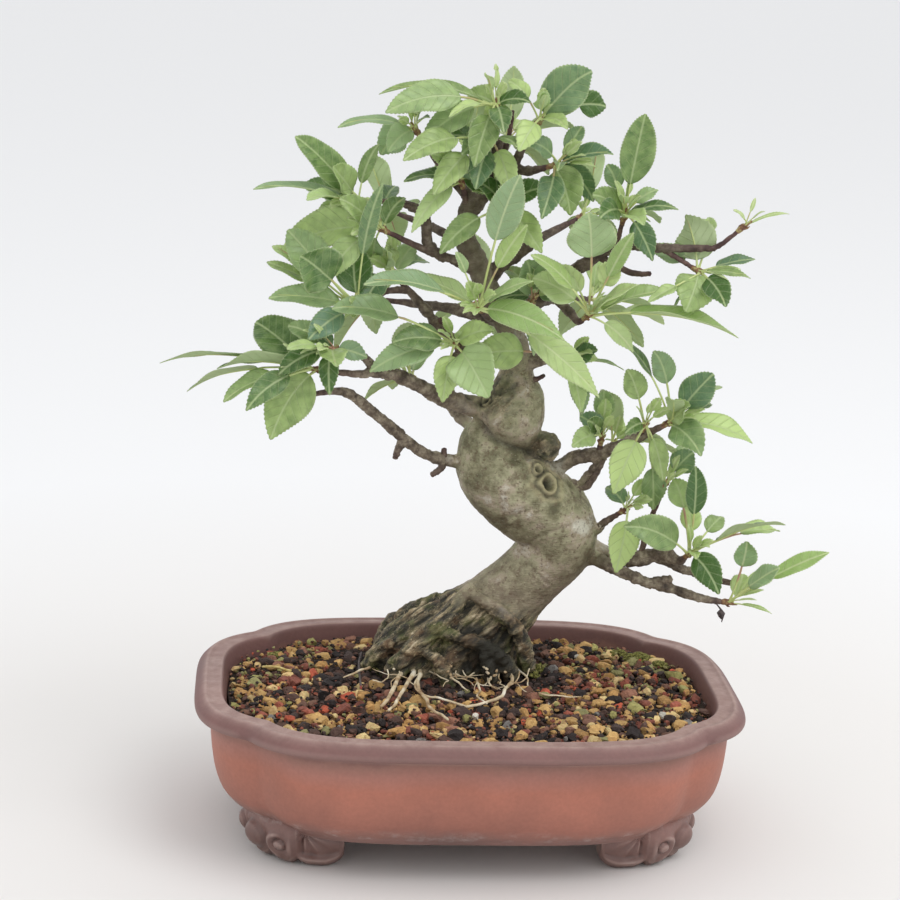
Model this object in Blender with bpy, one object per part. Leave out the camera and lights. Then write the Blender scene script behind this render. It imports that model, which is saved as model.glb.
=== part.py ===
"""Crabapple bonsai in its stoneware pot.

Lengths in this file are millimetres in the pot's own frame: the pot's centre on the table is the
origin, X runs along the pot, -Y is the show side and Z is up. Meshes are written in metres, and at
the end the whole tree is set with the middle of its box over the origin.
"""
import math
import random

import bmesh
import bpy
from mathutils import Matrix, Vector
from mathutils.bvhtree import BVHTree

MM = 0.001
GAP = 0.35                 # between pieces that rest on each other
MERGE = 0.004              # points of a union nearer than this become one
SCRAP = 30                 # a loose shell with fewer faces is scrap
ATTEMPTS = 8               # of a union, each with its first shape turned a little
SOLVERS = ("MANIFOLD", "EXACT")

# Pot: a four-lobed tray, two crossed superellipses whose crossings are the notches
POT_HALF_X = 112.0
POT_HALF_Y = 85.2
POT_HEIGHT = 62.8
LOBE_POWER = 4.1
WIDE_STEPS = 3             # facets of a quarter of the plan, either side of its notch
DEEP_STEPS = 7
WIDE_LOBE_DEPTH = 0.822    # depth of the wide lobe, of the pot's half depth
DEEP_LOBE_WIDTH = 0.872    # width of the deep lobe, of the pot's half width
BASE_Z = 14.5
FLOOR_Z = 20.0
WALL_TOP_INSET = 10.2
WALL_FOOT_INSET = 19.0
LIP_WALL_Z = 60.0
DRAIN_X = 45.0
DRAIN_RADIUS = 8.0
DRAIN_SIDES = 10
# A foot is a scalloped bracket round one corner of the plan, from the long side to the short one
FOOT_TOP = 19.5              # inside the thickness of the floor
FOOT_THICK = 13.0
FOOT_UNDERCUT = 5.5        # how far the lower edge is drawn in from the bulging face
FOOT_BULGE = 1.6
FOOT_LINE = ((52.0, 58.5), (64.0, 58.0), (76.0, 54.5), (86.0, 45.5), (91.0, 36.5), (93.0, 27.0))
FOOT_LOBES = ((0.22, 0.23, 0.0), (0.52, 0.17, 0.0), (0.73, 0.17, 0.0), (0.90, 0.11, 3.5))
FOOT_STATIONS = (0.0, 0.05, 0.18, 0.31, 0.42, 0.48, 0.56, 0.64, 0.74, 0.88, 1.0)

# Soil
SOIL_EDGE_Z = 55.0
SOIL_CROWN_Z = 57.5
GRIT_RELIEF = 1.4
SOIL_RINGS = 6
ROOT_CENTRE = (-6.0, 33.0)
ROOT_HALF = (37.0, 28.0)
ROOT_PLUG_Z = 42.0
MESH_SIZE = 23.0
MESH_BARS = 3
MESH_BAR = 1.6
MESH_THICK = 0.9

# Wood: centre lines as (x, y, z, radius)
TRUNK = [
    (9, 31, 76, 16.5), (16, 30, 86, 16.5), (22, 30, 93, 14.8),
    (32, 29, 104, 14.6), (39, 28, 115, 16.3), (36, 27, 126, 17.3), (24, 26, 135, 18.4),
    (12, 25, 146, 17.4), (9, 24, 156, 15), (13, 23, 164, 13.6), (15, 22, 172, 15),
    (17, 21, 180, 12.6), (17, 20, 187, 8.5), (17, 19, 195, 6), (15, 18, 205, 5.2),
    (9, 17, 215, 5.2), (3, 15, 225, 4.9), (-2, 13, 237, 4.6), (-7, 12, 246, 4.2),
    (-7, 10, 258, 3.8), (-3, 9, 269, 3.4), (2, 8, 278, 2.6), (4, 6, 288, 1.6),
]
# The root mass above the plug: middle x and y, height, half widths
ROOT_MASS = [
    (-6, 33, 56.5, 31, 23), (-6, 32, 60, 34, 25), (-6.2, 32, 67, 33.5, 24.5), (-3.8, 32, 74, 29.5, 23),
    (1.2, 31, 81, 25, 21), (7.2, 30.5, 87, 19, 18.5), (10.5, 30, 92, 14.5, 16), (13, 30, 96, 11, 12),
]
ROOT_SIDES = 20
ROOT_LOBE = 0.10           # depth of the folds between the roots, of the half width
SURFACE_ROOTS = [
    [(-25, 16, 62, 1.7), (-29, 0, 61.2, 1.4), (-33, -18, 60.9, 1.2), (-38, -34, 60.6, 0.9)],
    [(-21, 14, 62, 1.5), (-24, -2, 61.2, 1.3), (-30, -22, 60.7, 1.0), (-35, -39, 60.4, 0.8)],
    [(-18, 13, 62, 1.6), (-21, -6, 61.4, 1.2), (-18, -31, 60.7, 1.0), (-12, -47, 60.4, 0.8)],
    [(16, 18, 62, 1.6), (19, 0, 61.2, 1.1), (14, -15, 60.8, 1.0), (5, -28, 60.6, 0.9), (-5, -32, 60.6, 0.8)],
]
LIMBS = {
    "low_left_under": [
        (2, 24, 149, 4), (-7, 22, 151, 2.8), (-20, 17, 155, 2.4), (-32, 10, 165, 2.3),
        (-44, 4, 176, 2.2), (-55, -3, 185, 1.8), (-68, -8, 185, 1.0)],
    "low_left": [
        (10, 22, 173, 5.5), (-2, 18, 176, 4), (-13, 12, 180, 3.6), (-18, 8, 183, 3.2),
        (-30, 0, 190, 2.8), (-39, -5, 194, 2.6), (-50, -10, 194, 1.6), (-65, -14, 196, 1.0)],
    "left_inner": [
        (-12, 12, 181, 3.4), (-13, 9, 188, 3), (-11, 7, 195, 2.6), (-8, 6, 203, 2.2),
        (-17, 7, 211, 2.2), (-23, 7, 218, 2.1), (-34, 6, 230, 1.0)],
    "left_purple": [(0, 14, 231, 2.4), (-11, 9, 238, 1.8), (-24, 4, 243, 1.5), (-40, -4, 251, 0.9)],
    "left_high": [
        (-15, 8, 239, 2.2), (-23, 5, 245, 2.4), (-25, 4, 257, 2.2), (-35, 3, 262, 1.4), (-48, 2, 262, 0.9)],
    "right_tip": [
        (11, 18, 212, 4.4), (23, 15, 221, 3.4), (32, 12, 231, 2.8), (47, 7, 242, 2.2), (58, 4, 247, 2),
        (70, 0, 247, 1.8), (87, -4, 248, 1.4), (93, -6, 249, 1.1), (101, -8, 256, 0.8)],
    "fork_mid": [
        (1, 14, 229, 3.4), (9, 14, 237, 3), (16, 13, 242, 2.8), (19, 10, 249, 1.8), (10, 4, 259, 0.9)],
    "collar_right": [(17, 19, 193, 4.2), (25, 17, 196, 3), (34, 12, 197, 1.2)],
    "mid_right_tip": [
        (25, 26, 149, 5), (36, 24, 148, 3.3), (43, 20, 154, 3), (53, 16, 157, 2.8), (62, 11, 162, 2.4),
        (68, 8, 166, 2), (77, 4, 172, 1.2)],
    "low_right_tip": [
        (47, 28, 109, 5), (55, 24, 109, 3.4), (66, 18, 105, 2.6), (75, 14, 102, 2.4), (86, 11, 100, 2),
        (98, 8, 97, 1.8), (107, 6, 96, 1.2)],
    "low_right": [
        (51, 32, 113, 5), (63, 30, 108, 3.4), (72, 24, 109, 3.2), (83, 18, 113, 2.9), (89, 12, 112, 2),
        (91, 8, 115, 1.0)],
    "low_right_inner": [(47, 26, 121, 3.5), (54, 22, 122, 2.2), (57, 19, 126, 1.6), (63, 14, 132, 1.0)],
    "high_right": [
        (-7, 11, 254, 3), (-1, 10, 265, 2.6), (8, 8, 275, 2.2), (17, 6, 276, 1.8), (24, 4, 278, 1.0)],
    "apex_left": [(3, 7, 284, 1.7), (2, 2, 299, 0.9)],
    "apex_right": [(10, 8, 275, 2), (13, 5, 284, 1.6), (18, 2, 294, 0.9)],
    "left_rosette": [(-43, -7, 194, 2), (-47, -10, 200, 1.6), (-53, -13, 204, 1.2), (-58, -16, 205, 0.9)],
    "spur_left": [(-8, 7, 201, 1.9), (-10, 1, 204, 0.9)],
    "left_mid": [(-30, 6, 226, 1.6), (-39, 2, 226, 1.3), (-49, -6, 222, 0.9)],
    "centre_front": [(9, 16, 215, 2.6), (4, 8, 215, 1.8), (-1, -4, 220, 1.0)],
    "centre_right": [(14, 18, 208, 2.2), (18, 12, 215, 1.5), (20, 8, 221, 0.9)],
    "right_front": [(28, 14, 225, 2), (35, 6, 220, 1.8), (39, 0, 216, 1.4), (41, -4, 218, 0.9)],
    "mid_right_near": [(53, 16, 157, 1.9), (53, 13, 162, 0.9)],
    "mid_right": [(68, 8, 166, 1.6), (69, 5, 170, 0.9)],
    "low_right_twig": [(74, 23, 110, 1.4), (77, 18, 128, 1.1), (80, 12, 142, 0.9)],
    "right_cluster": [(72, 0, 247, 1.4), (77, -2, 244, 1.1), (84, -4, 240, 0.9)],
    "right_high": [(52, 6, 244, 1.5), (54, 3, 250, 1.1), (55, 0, 257, 0.9)],
    "high_left": [(-1, 9, 273, 1.6), (0, 6, 284, 0.9)],
    "far_left_top": [(-6, 10, 263, 1.8), (-17, 8, 274, 1.4), (-28, 4, 289, 0.9)],
    "fork_left": [(-7, 10, 259, 1.8), (-10, 4, 269, 0.9)],
    "back_low_left": [(8, 26, 158, 3), (-6, 42, 168, 2.2), (-22, 54, 178, 0.9)],
    "back_left": [(12, 18, 211, 3), (-12, 34, 214, 2.2), (-38, 50, 214, 0.9)],
    "back_left_high": [(-5, 12, 243, 2.4), (-18, 28, 248, 1.8), (-34, 44, 252, 0.9)],
    "back_mid": [(16, 19, 202, 3), (14, 42, 208, 2.2), (8, 62, 212, 0.9)],
    "back_right": [(24, 15, 221, 2.4), (38, 34, 220, 1.8), (50, 54, 216, 0.9)],
    "back_right_high": [(12, 14, 239, 2.4), (26, 28, 246, 1.8), (42, 42, 252, 0.9)],
    "back_top": [(-7, 11, 256, 2.4), (-6, 28, 266, 1.8), (-4, 44, 274, 0.9)],
    "back_crown": [(2, 8, 278, 2), (5, 20, 281, 1.4), (9, 31, 284, 0.9)],
    "back_low_right": [(38, 30, 124, 4), (50, 42, 136, 2.2), (62, 52, 150, 0.9)],
}
STUBS = [
    [(-30, 12, 162, 1.8), (-32, 10, 158, 1.5), (-33, 9, 155, 1.2)],
    [(-12, 20, 153, 1.8), (-13, 18, 149, 1.5), (-17, 17, 146, 1.2)],
    [(-12, 20, 152, 1.6), (-12, 19, 157, 1.1)],
    [(28, 24, 152, 5), (31, 22, 158, 6), (33, 21, 162, 5)],
    [(37, 26, 140, 3), (43, 24, 142, 1.8), (49, 22, 141, 1.5), (53, 18, 149, 1.4), (55, 16, 156, 1.6)],
    [(80, 19, 112, 2.6), (91, 18, 107, 1.9), (99, 17, 105, 1.6), (110, 16, 102, 1.3), (120, 15, 101, 1.0)],
    [(78, 14, 102, 2), (86, 11, 104, 1.7)],
    [(-9, 8, 204, 1.6), (-15, 7, 210, 1.1), (-17, 5, 215, 0.8)],
    [(47, 7, 242, 1.6), (60, 5, 236, 1.3), (68, 2, 236, 1.0)],
    [(17, 20, 190, 2), (24, 17, 188, 1.2), (28, 15, 190, 0.8)],
    [(6, 8, 280, 1.4), (8, 6, 290, 1.0), (9, 5, 300, 0.7)],
]

# Sprays: each stands on the tip of the limb of its own name. A leaf is (dx, dy, dz) from that tip
# to the leaf's own tip, then the blade's length and width, and how far it faces the show side:
# 0 lies flat, 1 faces the show side, and less than 0 shows its underside there.
SPRAYS = {
    "low_left": [
        (-20, -8, -27, 31, 19, 0.95), (-42, -2, 1, 36, 14, -0.5), (-65, 2, -2, 42, 9, -0.3),
        (-54, 8, -10, 32, 8, -0.3), (-39, -6, -12, 24, 10, 0.3), (-27, 10, 12, 30, 19, 0.6),
        (-24, 16, 6, 24, 8, 0.3), (-30, -14, -12, 24, 10, 0.7)],
    "low_left_under": [(-21, 10, -2, 18, 8, 0.4), (-12, -8, -3, 12, 6, 0.5), (-7, 14, 6, 14, 7, 0.3)],
    "left_rosette": [
        (-11, -2, 8, 13, 7, 0.5), (-21, 4, 9, 17, 9, 0.6), (-2, -18, -3, 17, 12, 0.6),
        (-17, -10, 3, 16, 6, 0.4), (11, 8, -3, 12, 8, 0.7), (-4, -10, -16, 15, 8, 0.6),
        (-26, -6, -9, 20, 10, 0.6)],
    "spur_left": [
        (-36, -14, -8, 29, 12, 0.7), (-52, -20, 19, 31, 13, 0.45), (12, -20, -16, 22, 20, 0.95),
        (-9, -14, 9, 10, 4, 0.3), (14, -12, 10, 18, 10, 0.6),
        (-27, -8, 4, 22, 12, 0.6), (-6, -16, -20, 18, 11, 0.8)],
    "centre_front": [
        (-49, -22, 15, 38, 12, 0.35), (-28, 0, 13, 26, 12, 0.3), (12, -8, 58, 34, 14, 0.95),
        (16, -10, 37, 24, 8, 0.6), (19, -14, 15, 22, 9, 0.35), (32, -20, -6, 34, 13, 0.6),
        (48, -14, -30, 34, 13, 0.6), (-12, -8, 25, 12, 5, 0.4)],
    "centre_right": [
        (-3, -6, 20, 19, 14, 0.5), (1, -10, -18, 19, 8, 0.7), (-10, 14, 13, 18, 9, 0.4),
        (-14, 4, 1, 14, 9, 0.5), (18, -10, 6, 20, 10, 0.6)],
    "right_front": [
        (20, -10, 17, 25, 9, 0.25), (36, -2, 13, 33, 9, 0.25), (11, -10, 26, 15, 10, 0.5),
        (-2, -10, 45, 23, 20, 0.95), (17, -16, 39, 27, 7, 0.6), (62, -10, -4, 46, 12, 0.15),
        (34, 4, -2, 22, 11, -0.4), (20, -6, -12, 16, 8, 0.6), (-10, 8, 21, 16, 8, 0.4),
        (-22, 6, 16, 20, 14, 0.6), (-24, -8, 27, 24, 9, 0.4)],
    "collar_right": [
        (8, -12, -19, 19, 8, 0.3), (10, -4, -21, 15, 8, 0.8), (11, 10, -27, 26, 6, 0.3),
        (-39, -18, 5, 22, 15, 0.8), (28, 6, -4, 19, 4, 0.2),
        (-12, -14, 8, 16, 10, 0.8), (14, -10, 7, 16, 9, 0.6)],
    "mid_right_near": [
        (-10, -4, 13, 15, 10, 0.6), (-8, -10, 13, 13, 7, 0.8), (1, 2, 22, 14, 9, 0.7),
        (-14, -10, 2, 14, 9, 0.7)],
    "mid_right": [
        (-9, -6, 27, 17, 10, 0.9), (-12, -8, -25, 21, 15, 0.9), (10, 0, -21, 17, 9, 0.5),
        (8, 8, -36, 16, 11, 0.6), (-9, -10, 1, 10, 6, 0.7)],
    "mid_right_tip": [
        (9, -12, 12, 16, 10, 0.6), (14, -16, -8, 21, 14, 0.7), (38, -2, -6, 31, 12, 0.35),
        (25, 4, 17, 22, 8, -0.4), (22, 10, 8, 14, 7, 0.4), (-24, -10, 40, 28, 8, 0.3),
        (-8, -4, 34, 19, 10, 0.7), (19, 2, 24, 21, 14, 0.85), (3, -14, 16, 16, 8, 0.3)],
    "low_right_inner": [(-5, 12, 8, 14, 8, 0.6), (-2, -10, -23, 20, 13, 0.85)],
    "low_right": [
        (-29, -12, 17, 28, 14, 0.75), (1, -4, 41, 25, 9, 0.6), (-6, 6, 33, 16, 11, 0.7),
        (1, 6, 22, 14, 9, 0.7), (40, -8, 18, 32, 14, -0.35), (41, 6, 11, 20, 9, 0.3),
        (13, -12, -12, 20, 12, 0.85), (17, 12, 15, 14, 8, 0.5)],
    "low_right_twig": [(12, -2, 18, 13, 11, 0.8), (19, 4, 17, 10, 5, 0.3), (-8, 10, 2, 10, 6, 0.4)],
    "low_right_tip": [
        (44, -4, 24, 30, 8, 0.45), (22, -10, 19, 19, 10, 0.4), (9, -2, 28, 14, 10, 0.7),
        (17, 4, 14, 14, 3, 0.3), (21, -6, -3, 14, 2.4, 0.3), (11, 12, 9, 14, 8, 0.4)],
    "right_tip": [(20, -2, 8, 20, 2.4, 0.3), (-3, -2, 9, 7, 3, 0.3)],
    "right_cluster": [
        (-4, 8, 20, 20, 19, -0.75), (9, 12, 19, 20, 9, -0.6), (-4, -12, -16, 19, 17, 0.85),
        (26, 2, 4, 18, 7, 0.3), (22, -6, -1, 20, 6, 0.3), (-5, 8, -17, 11, 5, 0.3),
        (-14, -8, -12, 14, 6, 0.3), (-16, 10, 6, 16, 9, 0.6), (11, -14, -12, 18, 11, 0.8)],
    "right_high": [
        (6, -18, 2, 17, 9, 0.5), (-14, -8, 12, 18, 12, 0.6), (22, -4, 7, 21, 7, 0.35),
        (6, -6, 45, 33, 14, 0.9), (-7, 4, 23, 13, 8, 0.7), (14, 4, 11, 12, 6, 0.5),
        (17, 10, -1, 15, 9, 0.2), (-12, -12, 0, 15, 10, 0.7), (12, -8, -14, 16, 10, 0.7)],
    "high_right": [
        (9, -12, -18, 21, 15, 0.85), (-4, -18, -18, 20, 11, 0.75), (25, -10, 8, 26, 9, 0.4),
        (1, -24, 2, 22, 5, 0.5), (20, -4, -13, 22, 10, 0.8), (14, 6, 17, 15, 7, 0.5),
        (-11, -12, 12, 16, 9, 0.6)],
    "apex_right": [
        (21, -6, 23.9, 31, 18, 0.7), (29, 6, 9, 13, 11, 0.9), (-11, 8, 18, 13, 7, 0.5),
        (11, -14, 2, 16, 7, 0.5), (18, 10, 19, 20, 14, 0.6), (0, -12, 15, 12, 7, 0.7),
        (-8, -16, -8, 15, 10, 0.75)],
    "apex_left": [
        (-47, 2, 7, 42, 8, 0.25), (-45, -10, 1, 32, 14, 0.6), (-20, -16, 0, 17, 6, 0.2),
        (-11, 6, 6, 13, 9, 0.7), (13, -8, 6, 15, 8, 0.5), (2, -16, -6, 14, 9, 0.7),
        (-30, -6, -12, 24, 12, 0.6), (-9, -14, -20, 20, 12, 0.8)],
    "high_left": [
        (-27, -8, 3, 25, 9, 0.4), (-36, -20, -2, 28, 12, 0.55), (-12, -22, 0, 20, 10, 0.6),
        (11, -18, 4, 14, 6, 0.4), (-19, 12, 7, 18, 8, 0.4), (-6, -14, -12, 16, 11, 0.8),
        (-23, -16, -15, 20, 11, 0.6), (9, -16, -15, 18, 10, 0.8)],
    "far_left_top": [
        (-33, 0, 3, 29, 7, 0.3), (-13, -6, -6, 14, 10, 0.6), (3, -8, 7, 8, 4, 0.4),
        (-15, 8, -9, 16, 13, 0.75)],
    "left_high": [
        (-30, -10, 28, 38, 13, 0.55), (-26, 8, 6, 24, 12, 0.5), (-15, -14, 16, 19, 11, 0.6),
        (-46, -4, 6, 44, 7, 0.2), (4, 2, 24, 19, 6, 0.5), (-25, -12, 3, 22, 8, 0.3),
        (-20, 6, -14, 21, 12, 0.6)],
    "left_purple": [
        (7, 8, 14, 15, 8, 0.4), (-41, 14, -10, 38, 18, 0.6), (-5, 14, -14, 14, 8, 0.6),
        (4, 18, 16, 18, 8, 0.4), (-20, -8, 14, 20, 10, 0.6), (-24, -10, -18, 20, 11, 0.7)],
    "left_mid": [
        (-26, -12, 27, 22, 20, 0.8), (-4, 8, 24, 22, 15, 0.8), (6, -8, 50, 34, 7, 0.7),
        (-38, -2, 3, 30, 12, 0.45), (-39, 10, 14, 26, 8, 0.3), (-37, 18, 22, 26, 9, 0.3),
        (-31, 10, 29, 25, 16, 0.7), (-22, -12, -12, 20, 11, 0.7)],
    "left_inner": [
        (7, 8, 14, 15, 9, 0.4), (-12, 10, 12, 17, 9, 0.4), (13, 14, 6, 16, 8, 0.3),
        (-16, -10, -10, 18, 10, 0.7), (-6, -14, 14, 18, 9, 0.6)],
    "fork_left": [
        (-21, -16, -16, 25, 8, 0.6), (-24, 0, 2, 21, 9, 0.3), (-11, 14, -10, 18, 8, 0.5),
        (2, -14, 10, 15, 10, 0.7), (-14, -10, 16, 18, 9, 0.6), (12, -12, -2, 17, 9, 0.7)],
    "fork_mid": [
        (-4, -18, 7, 16, 15, 0.95), (-29, -12, -15, 21, 10, 0.65), (11, 4, -10, 12, 7, 0.4),
        (14, -12, 12, 18, 10, 0.6), (-16, -8, 14, 18, 9, 0.6), (12, -12, -14, 18, 11, 0.8)],
}

# The far side carries rosettes by rule: leaves turn about the shoot by the golden angle
BACK_LEAVES = 4
BACK_SPRAYS = [name for name in LIMBS if name.startswith("back_")]
GOLDEN_ANGLE = math.radians(137.5)
SEED = 7

# Leaf form
BLADE_THICK = 0.7
FOLD = 0.30                # rise of the edges, of half the width
WAVE = 0.05                # up and down of the edge, of the width
ARCH = 0.13                # rise of the midrib over its chord
PETIOLE_RADIUS = 0.58
SHOOT_LENGTH = 5.0
SHOOT_RADIUS = 0.95
CLEARANCE = 0.35
LARGE_LEAF = 31.5
SMALL_LEAF = 18.5

COLOURS = {
    "pot": ((0.36, 0.15, 0.11), 0.75), "soil": ((0.16, 0.09, 0.05), 0.95), "tree": ((0.24, 0.21, 0.14), 0.85),
    "leaf": ((0.13, 0.27, 0.06), 0.5), "young_leaf": ((0.33, 0.47, 0.12), 0.5),
    "mesh": ((0.02, 0.02, 0.02), 0.6),
}
YOUNG_SPRAYS = ("centre_front", "low_right_tip", "right_tip", "right_front", "low_left_under")


def clear_scene():
    for obj in list(bpy.data.objects):
        bpy.data.objects.remove(obj, do_unlink=True)


def material(name):
    colour, roughness = COLOURS[name]
    mat = bpy.data.materials.get(name) or bpy.data.materials.new(name)
    mat.use_nodes = True
    bsdf = mat.node_tree.nodes["Principled BSDF"]
    bsdf.inputs["Base Color"].default_value = (*colour, 1.0)
    bsdf.inputs["Roughness"].default_value = roughness
    bsdf.inputs["Metallic"].default_value = 0.0
    mat.diffuse_color = (*colour, 1.0)
    return mat


def solid(name, verts, faces, collection):
    """A closed mesh object, its faces turned outwards, from points in millimetres."""
    mesh = bpy.data.meshes.new(name)
    mesh.from_pydata([tuple(MM * c for c in v) for v in verts], [], faces)
    bm = bmesh.new()
    bm.from_mesh(mesh)
    bmesh.ops.recalc_face_normals(bm, faces=bm.faces)
    bm.to_mesh(mesh)
    bm.free()
    obj = bpy.data.objects.new(name, mesh)
    collection.objects.link(obj)
    return obj


def evaluated_mesh(obj):
    bpy.context.view_layer.update()
    return bpy.data.meshes.new_from_object(obj.evaluated_get(bpy.context.evaluated_depsgraph_get()))


def shells(bm):
    """The separate closed shells of a mesh, as sets of faces, largest first."""
    left = set(bm.faces)
    found = []
    while left:
        edge_of_search = [left.pop()]
        shell = set(edge_of_search)
        while edge_of_search:
            face = edge_of_search.pop()
            for near in (f for edge in face.edges for f in edge.link_faces):
                if near not in shell:
                    shell.add(near)
                    left.discard(near)
                    edge_of_search.append(near)
        found.append(shell)
    return sorted(found, key=len, reverse=True)


def pinched(vert):
    """Whether the faces round a vertex form more than one fan."""
    left = set(vert.link_faces)
    edge_of_search = [left.pop()] if left else []
    while edge_of_search:
        face = edge_of_search.pop()
        for edge in face.edges:
            if vert in edge.verts:
                for near in edge.link_faces:
                    if near in left:
                        left.discard(near)
                        edge_of_search.append(near)
    return bool(left)


def sliver(face):
    """Whether a corner of the face nearly touches the side across from it."""
    longest = max(edge.calc_length() for edge in face.edges)
    return 2 * face.calc_area() < longest * MERGE * MM


def keep_body(mesh):
    """Fills hollows that a union sealed and drops loose scrap. Returns whether the rest is sound."""
    bm = bmesh.new()
    bm.from_mesh(mesh)
    loose = shells(bm)[1:]
    for shell in loose:
        bmesh.ops.delete(bm, geom=list(shell), context="FACES")
    bmesh.ops.remove_doubles(bm, verts=bm.verts, dist=MERGE * MM)
    largest_loose = max((len(shell) for shell in loose), default=0)
    sound = largest_loose < SCRAP and bm.calc_volume(signed=True) > 0
    sound = sound and all(len(edge.link_faces) == 2 for edge in bm.edges)
    sound = sound and all(edge.calc_length() > MERGE * MM for edge in bm.edges)
    sound = sound and not any(pinched(vert) for vert in bm.verts)
    sound = sound and not any(sliver(face) for face in bm.faces)
    bm.to_mesh(mesh)
    bm.free()
    return sound


def boolean(target, collection, operation, solvers=SOLVERS):
    """Joins or cuts a whole collection of pieces in one step. Returns whether the result is sound."""
    for solver in solvers:
        modifier = target.modifiers.new(operation.lower(), "BOOLEAN")
        modifier.operand_type = "COLLECTION"
        modifier.collection = collection
        modifier.operation = operation
        modifier.solver = solver
        mesh = evaluated_mesh(target)
        target.modifiers.clear()
        sound = keep_body(mesh)
        if sound:
            break
    target.data = mesh
    for obj in list(collection.objects):
        bpy.data.objects.remove(obj, do_unlink=True)
    return sound


def fuse(name, make_shapes, parts, pieces, solvers=SOLVERS):
    """One solid from overlapping closed shapes, turned a little and tried again where it isn't sound.

    Returns nothing where no attempt is sound.
    """
    for attempt in range(ATTEMPTS):
        shapes = make_shapes(attempt)
        target = solid(name, *shapes[0], parts)
        for i, (verts, faces) in enumerate(shapes[1:]):
            solid(f"{name}_piece_{i}", verts, faces, pieces)
        if boolean(target, pieces, "UNION", solvers):
            return target
        bpy.data.objects.remove(target, do_unlink=True)
    return None


def dress(obj, material_name):
    obj.data.materials.clear()
    obj.data.materials.append(material(material_name))


# Shapes built from rings of points

def rings_solid(rings, start_pole=None, end_pole=None):
    """A skin over rings with equal numbers of points, closed by a pole or a flat fan at each end."""
    count = len(rings[0])
    verts = [tuple(p) for ring in rings for p in ring]
    faces = []
    for i in range(len(rings) - 1):
        for j in range(count):
            k = (j + 1) % count
            faces.append((i * count + j, i * count + k, (i + 1) * count + k, (i + 1) * count + j))
    for pole, ring in ((start_pole, 0), (end_pole, len(rings) - 1)):
        first = ring * count
        if pole is None:
            faces.append(tuple(first + j for j in range(count)))
            continue
        verts.append(tuple(pole))
        faces += [(len(verts) - 1, first + j, first + (j + 1) % count) for j in range(count)]
    return verts, faces


def smooth_line(points, steps):
    """A smooth line through (x, y, z, radius) points, by Catmull-Rom."""
    ends = [points[0]] + list(points) + [points[-1]]
    line = []
    for a, b, c, d in zip(ends, ends[1:], ends[2:], ends[3:]):
        for s in range(steps):
            t = s / steps
            line.append(tuple(
                q + 0.5 * t * (r - p + t * (2 * p - 5 * q + 4 * r - u + t * (3 * q - p - 3 * r + u)))
                for p, q, r, u in zip(a, b, c, d)))
    line.append(tuple(points[-1]))
    return line


def sweep(line, sides, lumps=0.0, rng=None, turn=0.0):
    """A tube of changing radius along the line, without twist."""
    centres = [Vector(p[:3]) for p in line]
    across = None
    rings = []
    for i, centre in enumerate(centres):
        ahead = centres[min(i + 1, len(centres) - 1)] - centres[max(i - 1, 0)]
        ahead.normalize()
        if across is None:
            across = ahead.cross(Vector((0.31, -0.95, 0.02))).normalized()
        across = (across - ahead * across.dot(ahead)).normalized()
        other = ahead.cross(across)
        ring = []
        for j in range(sides):
            angle = 2 * math.pi * j / sides + turn
            radius = line[i][3]
            if lumps:
                radius *= 1 + rng.uniform(-lumps, lumps)
            ring.append(centre + (across * math.cos(angle) + other * math.sin(angle)) * radius)
        rings.append(ring)
    return rings_solid(rings)


# Plain primitives

def lists_of(bm):
    shape = ([tuple(v.co) for v in bm.verts], [tuple(v.index for v in face.verts) for face in bm.faces])
    bm.free()
    return shape


def box_shape(low, high):
    bm = bmesh.new()
    middle = (Vector(low) + Vector(high)) / 2
    size = Vector(high) - Vector(low)
    bmesh.ops.create_cube(bm, size=1.0, matrix=Matrix.LocRotScale(middle, None, size))
    return lists_of(bm)


def post_shape(x, y, z0, z1, radius, sides):
    bm = bmesh.new()
    place = Matrix.Translation((x, y, (z0 + z1) / 2))
    bmesh.ops.create_cone(
        bm, cap_ends=True, segments=sides, radius1=radius, radius2=radius, depth=z1 - z0, matrix=place)
    return lists_of(bm)


# Pot

def outline(inset):
    """The four-lobed plan, drawn in by an inset. Its points start at +X and run towards +Y."""
    half_x, half_y = POT_HALF_X - inset, POT_HALF_Y - inset
    wide = (half_x, half_y * WIDE_LOBE_DEPTH)
    deep = (half_x * DEEP_LOBE_WIDTH, half_y)
    n = LOBE_POWER
    a, b = wide[0] ** -n, wide[1] ** -n
    c, d = deep[0] ** -n, deep[1] ** -n
    notch_x = ((d - b) / (a * d - b * c)) ** (1 / n)
    notch_y = ((a - c) / (a * d - b * c)) ** (1 / n)
    notch_wide = math.atan2((notch_y / wide[1]) ** (n / 2), (notch_x / wide[0]) ** (n / 2))
    notch_deep = math.atan2((notch_y / deep[1]) ** (n / 2), (notch_x / deep[0]) ** (n / 2))
    quarter = []
    for i in range(WIDE_STEPS):
        angle = notch_wide * i / WIDE_STEPS
        quarter.append((wide[0] * math.cos(angle) ** (2 / n), wide[1] * math.sin(angle) ** (2 / n)))
    for i in range(DEEP_STEPS):
        angle = notch_deep + (math.pi / 2 - notch_deep) * i / DEEP_STEPS
        quarter.append((deep[0] * math.cos(angle) ** (2 / n), deep[1] * math.sin(angle) ** (2 / n)))
    top = (0.0, half_y)
    right_half = quarter + [top] + [(-x, y) for x, y in reversed(quarter)]
    return right_half + [(x, -y) for x, y in reversed(right_half[1:-1])]


def level_ring(inset, z):
    return [(x, y, z) for x, y in outline(inset)]


def wall_inset(z):
    """The inside wall leans in a little towards the floor."""
    share = (LIP_WALL_Z - z) / (LIP_WALL_Z - FLOOR_Z)
    return WALL_TOP_INSET + (WALL_FOOT_INSET - WALL_TOP_INSET) * share


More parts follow.
